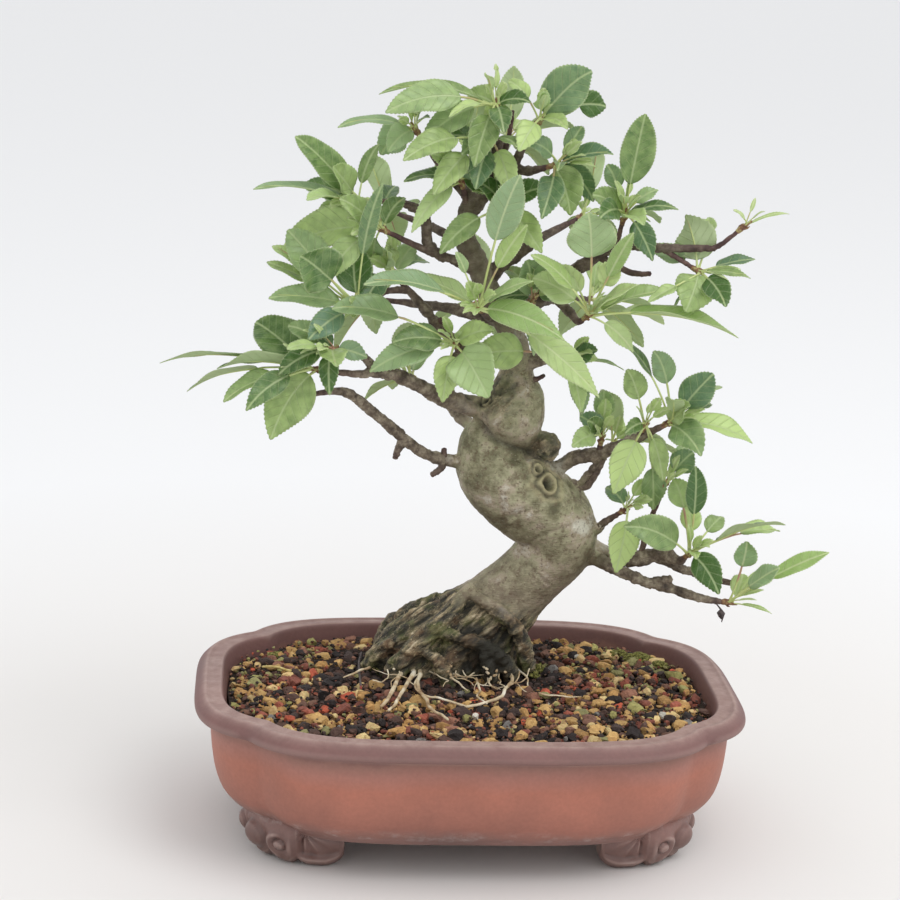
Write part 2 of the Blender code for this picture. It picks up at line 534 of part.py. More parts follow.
def foot_bottom(share):
    """Height of the foot's lower edge: round lobes side by side, the tallest cut flat to stand on."""
    lowest = FOOT_TOP - 4.0
    for centre, half, low in FOOT_LOBES:
        away = abs(share - centre) / half
        if away < 1:
            lowest = min(lowest, low + (FOOT_TOP - 4.0 - low) * (1 - (1 - away ** 3) ** (1 / 3)))
    return max(0.0, lowest - 0.3)


def foot_bulge(share):
    """How far the foot's face stands out: most at the middle of a lobe."""
    nearest = min(abs(share - centre) / half for centre, half, low in FOOT_LOBES)
    return FOOT_BULGE * math.cos(min(1.0, nearest) * math.pi / 2)


def foot_shape(sx, sy):
    line = smooth_line([(x, y, 0.0, 0.0) for x, y in FOOT_LINE], 8)
    rings = []
    for share in FOOT_STATIONS:
        i = min(int(share * (len(line) - 1)), len(line) - 2)
        part = share * (len(line) - 1) - i
        x = line[i][0] + (line[i + 1][0] - line[i][0]) * part
        y = line[i][1] + (line[i + 1][1] - line[i][1]) * part
        run = Vector((line[i + 1][0] - line[i][0], line[i + 1][1] - line[i][1])).normalized()
        out = Vector((-run.y, run.x))
        bottom = foot_bottom(share)
        section = (
            (-1.5, FOOT_TOP), (foot_bulge(share), bottom + 0.45 * (FOOT_TOP - bottom)),
            (-FOOT_UNDERCUT, bottom),
            (-FOOT_THICK + 1.0, bottom), (-FOOT_THICK, FOOT_TOP - 3.5))
        rings.append([(sx * (x + out.x * away), sy * (y + out.y * away), z) for away, z in section])
    return rings_solid(rings)


def make_pot(parts, pieces, cutters):
    profile = [
        (20.0, BASE_Z), (17.0, 18.0), (11.8, 21.5), (7.6, 28.5), (5.4, 41.0),
        (4.6, 55.2), (0.4, 56.0), (-1.8, 57.8), (-1.2, 60.2), (2.6, POT_HEIGHT),
        (9.0, POT_HEIGHT), (WALL_TOP_INSET, LIP_WALL_Z), (WALL_FOOT_INSET, FLOOR_Z)]
    body = rings_solid([level_ring(inset, z) for inset, z in profile], (0, 0, BASE_Z), (0, 0, FLOOR_Z))
    feet = [foot_shape(sx, sy) for sx in (-1, 1) for sy in (-1, 1)]
    pot = fuse("pot", lambda attempt: [body] + feet, parts, pieces)
    for sx in (-1, 1):
        hole = post_shape(sx * DRAIN_X, 0, 0.0, FLOOR_Z + 8, DRAIN_RADIUS, DRAIN_SIDES)
        solid(f"drain_cutter_{sx}", *hole, cutters)
    boolean(pot, cutters, "DIFFERENCE")
    dress(pot, "pot")
    return pot


def make_drain_mesh(name, x, parts, pieces):
    """A square of plastic mesh, of bars each way, lying over a drainage hole."""
    z = FLOOR_Z + GAP
    half = MESH_SIZE / 2
    shapes = []
    for i in range(MESH_BARS):
        at = -half + i * (MESH_SIZE - MESH_BAR) / (MESH_BARS - 1)
        shapes.append(box_shape((x - half, at, z), (x + half, at + MESH_BAR, z + MESH_THICK)))
        shapes.append(box_shape((x + at, -half, z), (x + at + MESH_BAR, half, z + MESH_THICK)))
    drain_mesh = fuse(name, lambda attempt: shapes, parts, pieces, ("MANIFOLD",))
    dress(drain_mesh, "mesh")
    return drain_mesh


# Soil

def root_ring(count, z, centre, half, lobe=0.0, rng=None):
    """A ring round the roots. Lobes are the ridges of single roots, which wind a little as they rise."""
    ring = []
    for j in range(count):
        angle = 2 * math.pi * j / count
        ridge = 0.6 * math.cos(5 * angle + 0.05 * z) + 0.4 * math.cos(8 * angle - 0.03 * z)
        share = 1 + lobe * (ridge + rng.uniform(-0.3, 0.3)) if lobe else 1.0
        x = centre[0] + half[0] * share * math.cos(angle)
        y = centre[1] + half[1] * share * math.sin(angle)
        ring.append((x, y, z))
    return ring


def make_soil(parts, cutters, rng):
    """A bed that fills the pot, with grit as relief and a plain hole where the roots stand."""
    foot = level_ring(WALL_FOOT_INSET + GAP + 0.2, FLOOR_Z + GAP)
    edge = level_ring(wall_inset(SOIL_EDGE_Z) + GAP, SOIL_EDGE_Z)
    hole = (ROOT_HALF[0] + GAP, ROOT_HALF[1] + GAP)
    rim = root_ring(len(edge), SOIL_CROWN_Z, ROOT_CENTRE, hole)
    rings = [foot, edge]
    for i in range(1, SOIL_RINGS):
        share = i / SOIL_RINGS
        ring = []
        for (x0, y0, z0), (x1, y1, z1) in zip(edge, rim):
            wander = share + rng.uniform(-0.28, 0.28) / SOIL_RINGS
            ring.append((
                x0 + (x1 - x0) * wander, y0 + (y1 - y0) * wander,
                z0 + (z1 - z0) * share + rng.uniform(-GRIT_RELIEF, GRIT_RELIEF)))
        rings.append(ring)
    rings.append(rim)
    rings.append([(x, y, ROOT_PLUG_Z - GAP) for x, y, z in rim])
    centre = (*ROOT_CENTRE, ROOT_PLUG_Z - GAP)
    soil = solid("soil", *rings_solid(rings, (0, 0, FLOOR_Z + GAP), centre), parts)
    for sx in (-1, 1):
        half = MESH_SIZE / 2 + GAP
        top = FLOOR_Z + MESH_THICK + 2 * GAP
        x = sx * DRAIN_X
        hollow = box_shape((x - half, -half, FLOOR_Z - 2), (x + half, half, top))
        solid(f"mesh_cutter_{sx}", *hollow, cutters)
    boolean(soil, cutters, "DIFFERENCE")
    dress(soil, "soil")
    return soil


# Wood

def root_mass(rng):
    """The plug that stands in the soil's hole, and the knotted roots above it."""
    plug = (ROOT_HALF[0] - 0.1, ROOT_HALF[1] - 0.1)
    rings = [root_ring(ROOT_SIDES, z, ROOT_CENTRE, plug) for z in (ROOT_PLUG_Z, SOIL_CROWN_Z - 1.0)]
    for i, (x, y, z, half_x, half_y) in enumerate(ROOT_MASS):
        rings.append(root_ring(ROOT_SIDES, z, (x, y), (half_x, half_y), ROOT_LOBE if i else 0.0, rng))
    return rings_solid(rings)


def tree_shapes(attempt):
    """Roots, trunk, limbs and stubs as overlapping solids."""
    rng = random.Random(SEED + attempt)
    shapes = [sweep(TRUNK, 12, 0.035, rng), root_mass(rng)]
    for line in SURFACE_ROOTS:
        shapes.append(sweep(line, 3, turn=0.4))
    for line in list(LIMBS.values()) + STUBS:
        sides = 5 if line[0][3] > 3.2 else 4 if line[0][3] > 1.9 else 3
        shapes.append(sweep(line, sides, 0.05, rng))
    return shapes


def make_tree(parts, pieces):
    tree = fuse("tree_wood", tree_shapes, parts, pieces)
    dress(tree, "tree")
    return tree


# Leaves

def blade_width(t):
    """Half width along the blade, 0 at the petiole, 1 at its widest, 0 at the pointed tip."""
    return 2.87 * (1 - t) ** 0.95 * t ** 0.62


class Leaf:
    """One leaf as a midrib curve with a blade along its outer end."""

    def __init__(self, start, tip, heading, length, width, facing, back):
        chord = tip - start
        reach = chord.length
        self.start, self.tip = start, tip
        self.middle = start + chord * 0.5 + (heading * 0.10 + Vector((0, 0, ARCH))) * reach
        self.blade_from = max(0.10, 1 - length / reach)
        self.width = width
        self.stations = (0.42,)
        if length >= SMALL_LEAF:
            self.stations = (0.3, 0.7)
        if length >= LARGE_LEAF:
            self.stations = (0.2, 0.5, 0.8)
        show = 1.0 if back else -1.0
        self.towards = Vector((0, show * facing, 1 - abs(facing))).normalized()
        if facing < 0:
            self.towards = Vector((0, show * facing, 1 + facing * 0.2)).normalized()

    def point(self, t):
        return self.start * (1 - t) ** 2 + self.middle * (2 * t * (1 - t)) + self.tip * t * t

    def frame(self, t):
        along = ((self.middle - self.start) * (1 - t) + (self.tip - self.middle) * t).normalized()
        side = along.cross(self.towards)
        if side.length < 0.2:
            side = along.cross(Vector((0.6, -0.5, 0.6)))
        side.normalize()
        return side, side.cross(along)

    def section(self, t, grow):
        """Three points above and three below, across the blade at a share t of its length."""
        at = self.blade_from + (1 - self.blade_from) * t
        centre = self.point(at)
        side, up = self.frame(at)
        half = self.width / 2 * blade_width(t)
        wave = self.width * WAVE * math.cos(t * 11.0)
        half_thick = BLADE_THICK / 2 + grow
        across = [
            centre - side * (half + grow) + up * (half * FOLD + wave),
            centre,
            centre + side * (half + grow) + up * (half * FOLD - wave)]
        return [p + up * half_thick for p in across] + [p - up * half_thick for p in across]

    def petiole_ring(self, t, grow):
        centre = self.point(t)
        side, up = self.frame(t)
        r = PETIOLE_RADIUS + grow
        left = centre - side * r * 0.87 + up * r * 0.5
        right = centre + side * r * 0.87 + up * r * 0.5
        return [left, right, centre - up * r]

    def shape(self, grow=0.0):
        """Vertices and faces of the whole leaf, and the faces of its blade alone."""
        stations = self.stations
        verts = []
        for t in (0.0, self.blade_from):
            verts += self.petiole_ring(t, grow)
        petiole = []
        for i in range(0, len(verts) - 3, 3):
            for a, b in ((0, 1), (1, 2), (2, 0)):
                petiole.append((i + a, i + b, i + 3 + b, i + 3 + a))
        petiole.append((0, 1, 2))
        last = len(verts) - 3
        for t in stations:
            verts += self.section(t, grow)
        tip = len(verts)
        side, up = self.frame(1.0)
        half_thick = BLADE_THICK / 2 + grow
        verts += [self.tip + up * half_thick, self.tip - up * half_thick]
        first = last + 3
        left, right, under = last, last + 1, last + 2
        blade = [
            (left, first + 1, first), (left, right, first + 1), (right, first + 2, first + 1),
            (under, first + 3, first + 4), (under, first + 4, first + 5),
            (left, first, first + 3, under), (right, under, first + 5, first + 2)]
        for s in range(len(stations) - 1):
            a = first + 6 * s
            b = a + 6
            for layer in (0, 3):
                c, d = a + layer, b + layer
                blade += [(c, c + 1, d + 1), (c, d + 1, d)]
                blade += [(c + 1, c + 2, d + 1), (c + 2, d + 2, d + 1)]
            blade += [(a, b, b + 3, a + 3), (a + 2, a + 5, b + 5, b + 2)]
        a = tip - 6
        blade += [(a, a + 1, tip), (a + 1, a + 2, tip), (a + 3, tip + 1, a + 4), (a + 4, tip + 1, a + 5)]
        blade += [(a, tip, tip + 1, a + 3), (a + 2, a + 5, tip + 1, tip)]
        return verts, petiole + blade, blade


def rosette(rng, heading):
    """Leaves round a shoot by the golden angle, spread outwards and a little down."""
    across = heading.cross(Vector((0, 0, 1))).normalized()
    over = heading.cross(across)
    rows = []
    for k in range(BACK_LEAVES):
        angle = k * GOLDEN_ANGLE + rng.uniform(-0.3, 0.3)
        out = across * math.cos(angle) + over * math.sin(angle)
        reach = rng.uniform(26, 34)
        tip = (heading * rng.uniform(0.35, 0.7) + out * 0.85 + Vector((0, 0, -0.1))).normalized() * reach
        rows.append((*tip, reach * 0.78, rng.uniform(11, 15), rng.uniform(0.15, 0.5)))
    return rows


def bends():
    """How a leaf may be bent, least first: towards or away from the viewer, then up or down."""
    yield Vector((0, 0, 0))
    for k in range(1, 9):
        for sign in (-1, 1):
            yield Vector((0, sign * 2.5 * k, 0))
            yield Vector((0, sign * 2.0 * k, 1.5 * k))
            yield Vector((0, sign * 2.0 * k, -1.5 * k))
            yield Vector((1.5 * k, sign * 2.0 * k, 0))
            yield Vector((-1.5 * k, sign * 2.0 * k, 0))


class Crown:
    """Seats every leaf clear of the wood and of the leaves that are already there."""

    def __init__(self, wood_mesh):
        verts = [v.co / MM for v in wood_mesh.vertices]
        self.wood = BVHTree.FromPolygons(verts, [tuple(p.vertices) for p in wood_mesh.polygons])
        self.placed = []

    def clear(self, spray, leaf):
        verts, faces, blade = leaf.shape(CLEARANCE)
        whole = BVHTree.FromPolygons(verts, faces)
        if whole.overlap(self.wood):
            return None
        blade_only = BVHTree.FromPolygons(verts, blade)
        middle = sum(verts, Vector()) / len(verts)
        reach = max((v - middle).length for v in verts)
        for other, other_whole, other_blade, other_middle, other_reach in self.placed:
            if (middle - other_middle).length > reach + other_reach:
                continue
            if other == spray and blade_only.overlap(other_blade):
                return None
            if other != spray and whole.overlap(other_whole):
                return None
        return whole, blade_only, middle, reach

    def seat(self, spray, start, base, heading, row, back):
        """The leaf, bent as little as clears its neighbours, or nothing where no bend does."""
        for bend in bends():
            tip = base + Vector(row[:3]) + bend
            leaf = Leaf(start, tip, heading, *row[3:], back)
            test = self.clear(spray, leaf)
            if test:
                self.placed.append((spray, *test))
                return leaf
        return None


def shoot_line(base, heading):
    tip = base + heading * SHOOT_LENGTH
    return [(*(base + heading * GAP), SHOOT_RADIUS), (*tip, SHOOT_RADIUS * 0.7)]


def fuse_spray(name, line, leaves, parts, pieces):
    """The shoot with all its leaves, or with one leaf fewer where the whole doesn't fuse."""
    def shapes_of(group):
        return lambda attempt: [sweep(line, 5, turn=0.2 * attempt)] + group

    spray = fuse(name, shapes_of(leaves), parts, pieces)
    for k in reversed(range(len(leaves))):
        if spray:
            break
        print(f"{name}: tried without leaf {k}")
        spray = fuse(name, shapes_of(leaves[:k] + leaves[k + 1:]), parts, pieces)
    return spray


def make_sprays(crown, parts, pieces):
    """One solid for each spray: its green shoot, the petioles and the blades."""
    for name, line in LIMBS.items():
        rows = SPRAYS.get(name)
        back = name in BACK_SPRAYS
        if rows is None and not back:
            continue
        base = Vector(line[-1][:3])
        heading = (base - Vector(line[-2][:3])).normalized()
        if back:
            rows = rosette(random.Random(SEED + BACK_SPRAYS.index(name)), heading)
        leaves = []
        for k, row in enumerate(rows):
            share = 0.35 + 0.5 * (k + 1) / len(rows)
            start = base + heading * (GAP + SHOOT_LENGTH * share)
            leaf = crown.seat(name, start, base, heading, row, back)
            if leaf is None:
                print(f"{name}: leaf {k} has no room and is left out")
                continue
            leaves.append(leaf.shape()[:2])
        line = shoot_line(base, heading)
        spray = fuse_spray(f"spray_{name}", line, leaves, parts, pieces)
        dress(spray, "young_leaf" if name in YOUNG_SPRAYS else "leaf")


def centre_on_base(parts):
    """Moves every mesh so that the middle of the whole box stands over the origin."""
    points = [v.co for obj in parts.objects for v in obj.data.vertices]
    low = [min(p[i] for p in points) for i in range(3)]
    high = [max(p[i] for p in points) for i in range(3)]
    shift = Vector((-(low[0] + high[0]) / 2, -(low[1] + high[1]) / 2, -low[2]))
    for obj in parts.objects:
        for vertex in obj.data.vertices:
            vertex.co += shift
        obj.data.update()
    size = [high[i] - low[i] for i in range(3)]
    print("pot centre at", [round(c / MM, 2) for c in shift], "size", [round(c / MM, 1) for c in size])


def new_collection(name):
    collection = bpy.data.collections.new(name)
    bpy.context.scene.collection.children.link(collection)
    return collection


def main():
    clear_scene()
    rng = random.Random(SEED)
    parts = new_collection("crabapple_bonsai")
    pieces = new_collection("pieces")
    cutters = new_collection("cutters")
    make_pot(parts, pieces, cutters)
    make_drain_mesh("drain_mesh_left", -DRAIN_X, parts, pieces)
    make_drain_mesh("drain_mesh_right", DRAIN_X, parts, pieces)
    make_soil(parts, cutters, rng)
    tree = make_tree(parts, pieces)
    make_sprays(Crown(tree.data), parts, pieces)
    centre_on_base(parts)
    total = 0
    for obj in parts.objects:
        obj.data.calc_loop_triangles()
        total += len(obj.data.loop_triangles)
        print(obj.name, len(obj.data.loop_triangles))
    print("triangles", total)


main()
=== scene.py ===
# %% [markdown]
# # A crabapple bonsai, dressed
# The solids of the tree and its pot come in as a fixed frame, at their real size. This script puts
# the finer surface over them: bark, roots, grit, leaves with veins and saw-cut edges, and stoneware.
# Each piece is worked out in millimetres, in the pot's own frame: the pot's centre on the table is
# the origin, X runs along the pot, -Y is the side that is shown and Z is up.

# %% Load the frame
import math
import random
from contextlib import contextmanager

import bmesh
import bpy
import numpy as np
from mathutils import Matrix, Vector, noise
from mathutils.bvhtree import BVHTree
from mathutils.kdtree import KDTree


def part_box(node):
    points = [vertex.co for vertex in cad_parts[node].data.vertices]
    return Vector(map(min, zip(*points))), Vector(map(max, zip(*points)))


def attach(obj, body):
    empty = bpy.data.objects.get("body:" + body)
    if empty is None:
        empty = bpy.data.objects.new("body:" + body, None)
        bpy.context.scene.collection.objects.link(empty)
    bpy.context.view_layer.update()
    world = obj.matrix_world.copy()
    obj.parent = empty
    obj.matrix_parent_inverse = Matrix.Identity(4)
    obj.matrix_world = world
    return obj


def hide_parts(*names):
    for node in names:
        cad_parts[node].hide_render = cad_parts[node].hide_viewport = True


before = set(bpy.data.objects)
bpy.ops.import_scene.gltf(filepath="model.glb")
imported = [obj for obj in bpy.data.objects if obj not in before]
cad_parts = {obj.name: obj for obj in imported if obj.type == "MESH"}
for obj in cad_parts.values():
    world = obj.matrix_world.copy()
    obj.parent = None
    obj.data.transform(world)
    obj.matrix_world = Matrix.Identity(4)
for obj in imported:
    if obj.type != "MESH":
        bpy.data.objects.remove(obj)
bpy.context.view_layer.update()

MM = 0.001
SEED = 7
pot_low, pot_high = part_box("pot")
ORIGIN = Vector(((pot_low[0] + pot_high[0]) / 2, (pot_low[1] + pot_high[1]) / 2, 0.0))
print("pot centre, mm:", [round(c / MM, 2) for c in ORIGIN])


def place(point):
    """A point of the pot's frame, in millimetres, as a place in the scene, in metres."""
    return ORIGIN + Vector(point) * MM


def new_object(name, data):
    """An object that holds the data, put in the scene."""
    obj = bpy.data.objects.new(name, data)
    bpy.context.scene.collection.objects.link(obj)
    return obj


def clamp(value):
    """A number held between 0 and 1."""
    return min(1.0, max(0.0, value))


# %% [markdown]
# ## Camera
# A photograph is matched by standing where the photographer stood. The viewpoint was solved from
# the corners of the pot, whose size is known, and is written here as a distance, a height and
# angles, so that each number can be read as a move of the tripod.

# %% Camera
CAMERA_DISTANCE = 978.3    # level distance to the pot's centre, mm
CAMERA_HEIGHT = 392.9
CAMERA_ROUND = math.radians(-5.39)
CAMERA_AIM = math.radians(-4.74)
CAMERA_DOWN = math.radians(13.35)
CAMERA_ROLL = math.radians(2.31)
CAMERA_LENS = 97.72        # mm
SENSOR_WIDTH = 36.0        # mm

camera_data = bpy.data.cameras.new("camera")
camera_data.lens = CAMERA_LENS
camera_data.sensor_width = SENSOR_WIDTH
camera_data.clip_start = 0.05
camera_data.clip_end = 50.0
camera = new_object("camera", camera_data)
bpy.context.scene.camera = camera
ahead = Vector((
    -math.sin(CAMERA_AIM) * math.cos(CAMERA_DOWN), math.cos(CAMERA_AIM) * math.cos(CAMERA_DOWN),
    -math.sin(CAMERA_DOWN)))
right = ahead.cross(Vector((0, 0, 1))).normalized()
up = right.cross(ahead)
right, up = (
    right * math.cos(CAMERA_ROLL) + up * math.sin(CAMERA_ROLL),
    up * math.cos(CAMERA_ROLL) - right * math.sin(CAMERA_ROLL))
camera.matrix_world = Matrix.Translation(place((
    CAMERA_DISTANCE * math.sin(CAMERA_ROUND), -CAMERA_DISTANCE * math.cos(CAMERA_ROUND), CAMERA_HEIGHT))
) @ Matrix((right, up, -ahead)).transposed().to_4x4()
print("camera at", [round(c, 3) for c in camera.matrix_world.translation])

# %% [markdown]
# ## Helpers
# Colours are given as sRGB hex values, but light adds up in linear numbers, so one function turns them.
# Another adds a shader node with its settings and links and returns the output that the next node needs, so a
# material reads from top to bottom as a recipe.

# %% Colours and materials


def colour(hex_code):
    """An sRGB hex value as linear red, green, blue and alpha."""
    channels = [int(hex_code[i:i + 2], 16) / 255 for i in (1, 3, 5)]
    return tuple(c / 12.92 if c <= 0.04045 else ((c + 0.055) / 1.055) ** 2.4 for c in channels) + (1.0,)


def fill(socket, value):
    """Fills an input with another node's output, a number, a vector or a colour's hex code."""
    if isinstance(value, bpy.types.NodeSocket):
        socket.id_data.links.new(value, socket)
    else:
        socket.default_value = colour(value) if isinstance(value, str) else value


def add(tree, kind, output, inputs=(), stops=(), **settings):
    """Adds a shader node, sets it up and fills its inputs. Stops belong to a colour ramp."""
    new = tree.nodes.new("ShaderNode" + kind)
    for key, value in settings.items():
        setattr(new, key, value)
    for key, value in dict(inputs).items():
        fill(new.inputs[key], value)
    for i, (position, shade) in enumerate(stops):
        stop = new.color_ramp.elements[i] if i < 2 else new.color_ramp.elements.new(position)
        stop.position = position
        stop.color = colour(shade) if isinstance(shade, str) else (shade, shade, shade, 1.0)
    return new.outputs[output]


def new_material(name, roughness, ior=1.45):
    """A new material. Returns it, its node tree, its shader and the place in the scene, in metres."""
    mat = bpy.data.materials.new(name)
    mat.use_nodes = True
    shader = mat.node_tree.nodes["Principled BSDF"]
    fill(shader.inputs["Roughness"], roughness)
    fill(shader.inputs["IOR"], ior)
    return mat, mat.node_tree, shader, add(mat.node_tree, "TexCoord", "Object")


def per_metre(size_mm):
    """The scale of a texture whose features are about this many millimetres wide."""
    return 1.0 / (size_mm * MM)


def clouded(name, roughness, size_mm, detail, stops, grain=0.5, ior=1.45, relief=None):
    """A material with one noise for its colour and for a relief, given by its strength and depth in mm."""
    mat, tree, shader, spot = new_material(name, roughness, ior)
    cloud = add(tree, "TexNoise", "Fac", {
        "Vector": spot, "Scale": per_metre(size_mm), "Detail": detail, "Roughness": grain})
    fill(shader.inputs["Base Color"], add(tree, "ValToRGB", 0, {0: cloud}, stops))
    if relief:
        bumps = add(tree, "Bump", 0, {"Height": cloud, "Strength": relief[0], "Distance": relief[1] * MM})
        fill(shader.inputs["Normal"], bumps)
    return mat


def coat(obj, *materials):
    """Gives a piece these materials and no others."""
    obj.data.materials.clear()
    for material in materials:
        obj.data.materials.append(material)


# %% Mesh helpers


def make_piece(name, points, faces, smooth=True):
    """A mesh object from points in millimetres, riding on the tree's body."""
    mesh = bpy.data.meshes.new(name)
    points = np.asarray([tuple(p) for p in points], dtype=float)
    mesh.from_pydata((points * MM + np.array(ORIGIN)).tolist(), [], faces)
    mesh.polygons.foreach_set("use_smooth", [smooth] * len(mesh.polygons))
    obj = new_object(name, mesh)
    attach(obj, "root")
    return obj


def mark(obj, name, values):
    """Gives each point of a mesh a number that its material reads."""
    layer = obj.data.attributes.new(name, "FLOAT", "POINT")
    layer.data.foreach_set("value", np.asarray(values, dtype=np.float32))


@contextmanager
def edited(mesh):
    """Opens a mesh as a bmesh and writes it back."""
    bm = bmesh.new()
    bm.from_mesh(mesh)
    yield bm
    bm.to_mesh(mesh)
    bm.free()


def turn_out(obj):
    """Turns all faces of a closed mesh outwards."""
    with edited(obj.data) as bm:
        bmesh.ops.recalc_face_normals(bm, faces=bm.faces)


def apply_modifiers(obj):
    """Makes what the modifiers do to a mesh its own shape."""
    bpy.context.view_layer.update()
    obj.data = bpy.data.meshes.new_from_object(obj.evaluated_get(bpy.context.evaluated_depsgraph_get()))
    obj.modifiers.clear()


def search_tree(points):
    """A tree that finds the nearest of many points."""
    tree = KDTree(len(points))
    for i, point in enumerate(points):
        tree.insert(point[:3], i)
    tree.balance()
    return tree


def skin(rings, start_pole=None, end_pole=None):
    """Points and faces of a skin over rings of equal length, closed by a pole or a flat face."""
    count = len(rings[0])
    points = [tuple(p) for ring in rings for p in ring]
    faces = []
    for i in range(len(rings) - 1):
        for j in range(count):
            k = (j + 1) % count
            faces.append((i * count + j, i * count + k, (i + 1) * count + k, (i + 1) * count + j))
    for pole, ring in ((start_pole, 0), (end_pole, len(rings) - 1)):
        first = ring * count
        if pole is None:
            faces.append(tuple(first + j for j in range(count)))
            continue
        points.append(tuple(pole))
        faces += [(len(points) - 1, first + j, first + (j + 1) % count) for j in range(count)]
    return points, faces


def join(shapes):
    """Several shapes' points and faces as one list of each."""
    points, faces = [], []
    for more_points, more_faces in shapes:
        first = len(points)
        points += more_points
        faces += [tuple(first + i for i in face) for face in more_faces]
    return points, faces


def smooth_line(line, steps):
    """A Catmull-Rom curve through points of any number of values."""
    ends = [line[0]] + list(line) + [line[-1]]
    curve = []
    for a, b, c, d in zip(ends, ends[1:], ends[2:], ends[3:]):
        for s in range(steps):
            t = s / steps
            curve.append(tuple(
                q + 0.5 * t * (r - p + t * (2 * p - 5 * q + 4 * r - u + t * (3 * q - p - 3 * r + u)))
                for p, q, r, u in zip(a, b, c, d)))
    curve.append(tuple(line[-1]))
    return curve


def tube(line, sides, lumps=0.0, rng=None):
    """A round skin along (x, y, z, radius) points, without twist, with a blunt far end."""
    centres = [Vector(p[:3]) for p in line]
    across = None
    rings = []
    for i, centre in enumerate(centres):
        along = (centres[min(i + 1, len(centres) - 1)] - centres[max(i - 1, 0)]).normalized()
        if across is None:
            across = along.cross(Vector((0.31, -0.95, 0.02))).normalized()
        across = (across - along * across.dot(along)).normalized()
        other = along.cross(across)
        ring = []
        for j in range(sides):
            angle = 2 * math.pi * j / sides
            radius = line[i][3] * (1 + rng.uniform(-lumps, lumps)) if lumps else line[i][3]
            ring.append(centre + (across * math.cos(angle) + other * math.sin(angle)) * radius)
        rings.append(ring)
    blunt = 0.5 * line[-1][3]
    return skin(rings, centres[0], centres[-1] + along * blunt)


# %% [markdown]
# ## The pot's form
# The pot is a four-lobed stoneware tray. Its plan is the outer edge of two crossed superellipses,
# and where they cross there is a soft notch that runs from the lip to the foot. It could be a
# mirrored quarter with modifiers. A loft is chosen instead, because one plan at every height keeps
# the notch in one line while the profile bellies out below a rolled lip.

# %% The plan of the pot
POT_HALF_X = 112.0
POT_HALF_Y = 85.2
WIDE_LOBE_DEPTH = 0.822
DEEP_LOBE_WIDTH = 0.872
LOBE_POWER = 4.1
NOTCH_SOFTNESS = 0.45
PLAN_POINTS = 288


def plan_radius(angle, inset):
    """Distance from the centre to the four-lobed outline, drawn in by an inset."""
    half_x, half_y = POT_HALF_X - inset, POT_HALF_Y - inset
    radii = []
    for a, b in ((half_x, half_y * WIDE_LOBE_DEPTH), (half_x * DEEP_LOBE_WIDTH, half_y)):
        power = np.abs(np.cos(angle) / a) ** LOBE_POWER + np.abs(np.sin(angle) / b) ** LOBE_POWER
        radii.append(power ** (-1 / LOBE_POWER))
    outer, inner = np.maximum(*radii), np.minimum(*radii)
    return outer + NOTCH_SOFTNESS * np.log1p(np.exp((inner - outer) / NOTCH_SOFTNESS))


dense = np.linspace(0, 2 * math.pi, 8001)
dense_radius = plan_radius(dense, 0.0)
steps = np.hypot(np.diff(dense_radius * np.cos(dense)), np.diff(dense_radius * np.sin(dense)))
travelled = np.concatenate(([0], np.cumsum(steps)))
PLAN_ANGLES = np.interp(np.arange(PLAN_POINTS) * travelled[-1] / PLAN_POINTS, travelled, dense)
print("way round the lip, mm:", round(travelled[-1]))


def plan_ring(inset, z):
    radius = plan_radius(PLAN_ANGLES, inset)
    return [(r * math.cos(a), r * math.sin(a), z) for r, a in zip(radius, PLAN_ANGLES)]


# %% The wall, lip and floor
# the profile from the base up, over the lip and down inside, as (inset, z)
BELLY = [
    (18.6, 14.9), (16.6, 17.2), (12.6, 20.6), (9.0, 25.5), (6.9, 31.5), (5.7, 38.5), (5.0, 46.0),
    (4.6, 53.6)]
LIP = [
    (4.6, 54.6), (5.3, 55.2), (4.2, 55.7), (1.6, 55.8), (-0.4, 56.2), (-1.5, 57.1), (-1.8, 58.3),
    (-1.3, 59.5), (0.1, 61.0), (1.4, 62.2), (2.6, 62.8), (3.4, 62.6), (4.2, 62.3), (6.0, 62.4),
    (8.2, 62.6), (9.3, 62.2), (9.9, 61.2), (10.3, 59.4)]
INSIDE = [(11.6, 53.0), (14.9, 38.0), (17.6, 26.0), (19.4, 21.4), (22.0, 20.1)]
DRAIN_X = 45.0
DRAIN_RADIUS = 8.0
BASE_Z = 14.5
FLOOR_Z = 20.0

profile = [(34.0, BASE_Z), (20.4, BASE_Z)] + smooth_line(BELLY, 4)
profile += smooth_line(LIP, 2) + smooth_line(INSIDE, 2)
wall = skin([plan_ring(inset, z) for inset, z in profile], (0, 0, BASE_Z), (0, 0, FLOOR_Z))
print("rings in the pot's profile:", len(profile))

# %% [markdown]
# ## The feet
# Each foot is a cast bracket that wraps a corner: lobes with a rolled lower edge, a ribbed shell, an
# upright tongue, a crescent and round balls. It could be sculpted. Here the face of a swept bracket is
# pushed out by a short sum of named bumps, which gives the same relief at all four corners.

# %% The relief of a foot
FOOT_TOP = 19.5
FOOT_THICK = 13.0
FOOT_UNDERCUT = 5.5
FOOT_TUCK = 2.6            # the top of the face leans in under the wall
FOOT_LINE = [(52.0, 58.5), (64.0, 58.0), (76.0, 54.5), (86.0, 45.5), (91.0, 36.5), (93.0, 27.0)]
# a lobe: its middle and half width as shares of the length, and its lowest point
FOOT_LOBES = [(0.19, 0.23, 0.0), (0.43, 0.17, 0.0), (0.645, 0.17, 0.0), (0.87, 0.14, 2.5)]
FOOT_LOBE_PUSH = 2.2
FOOT_SCALLOP = 4.0         # the notches between the lobes end at this much below the top
FOOT_ROLL = (1.8, 1.5, 1.1)  # the rolled lower edge: its height, its width and its rise
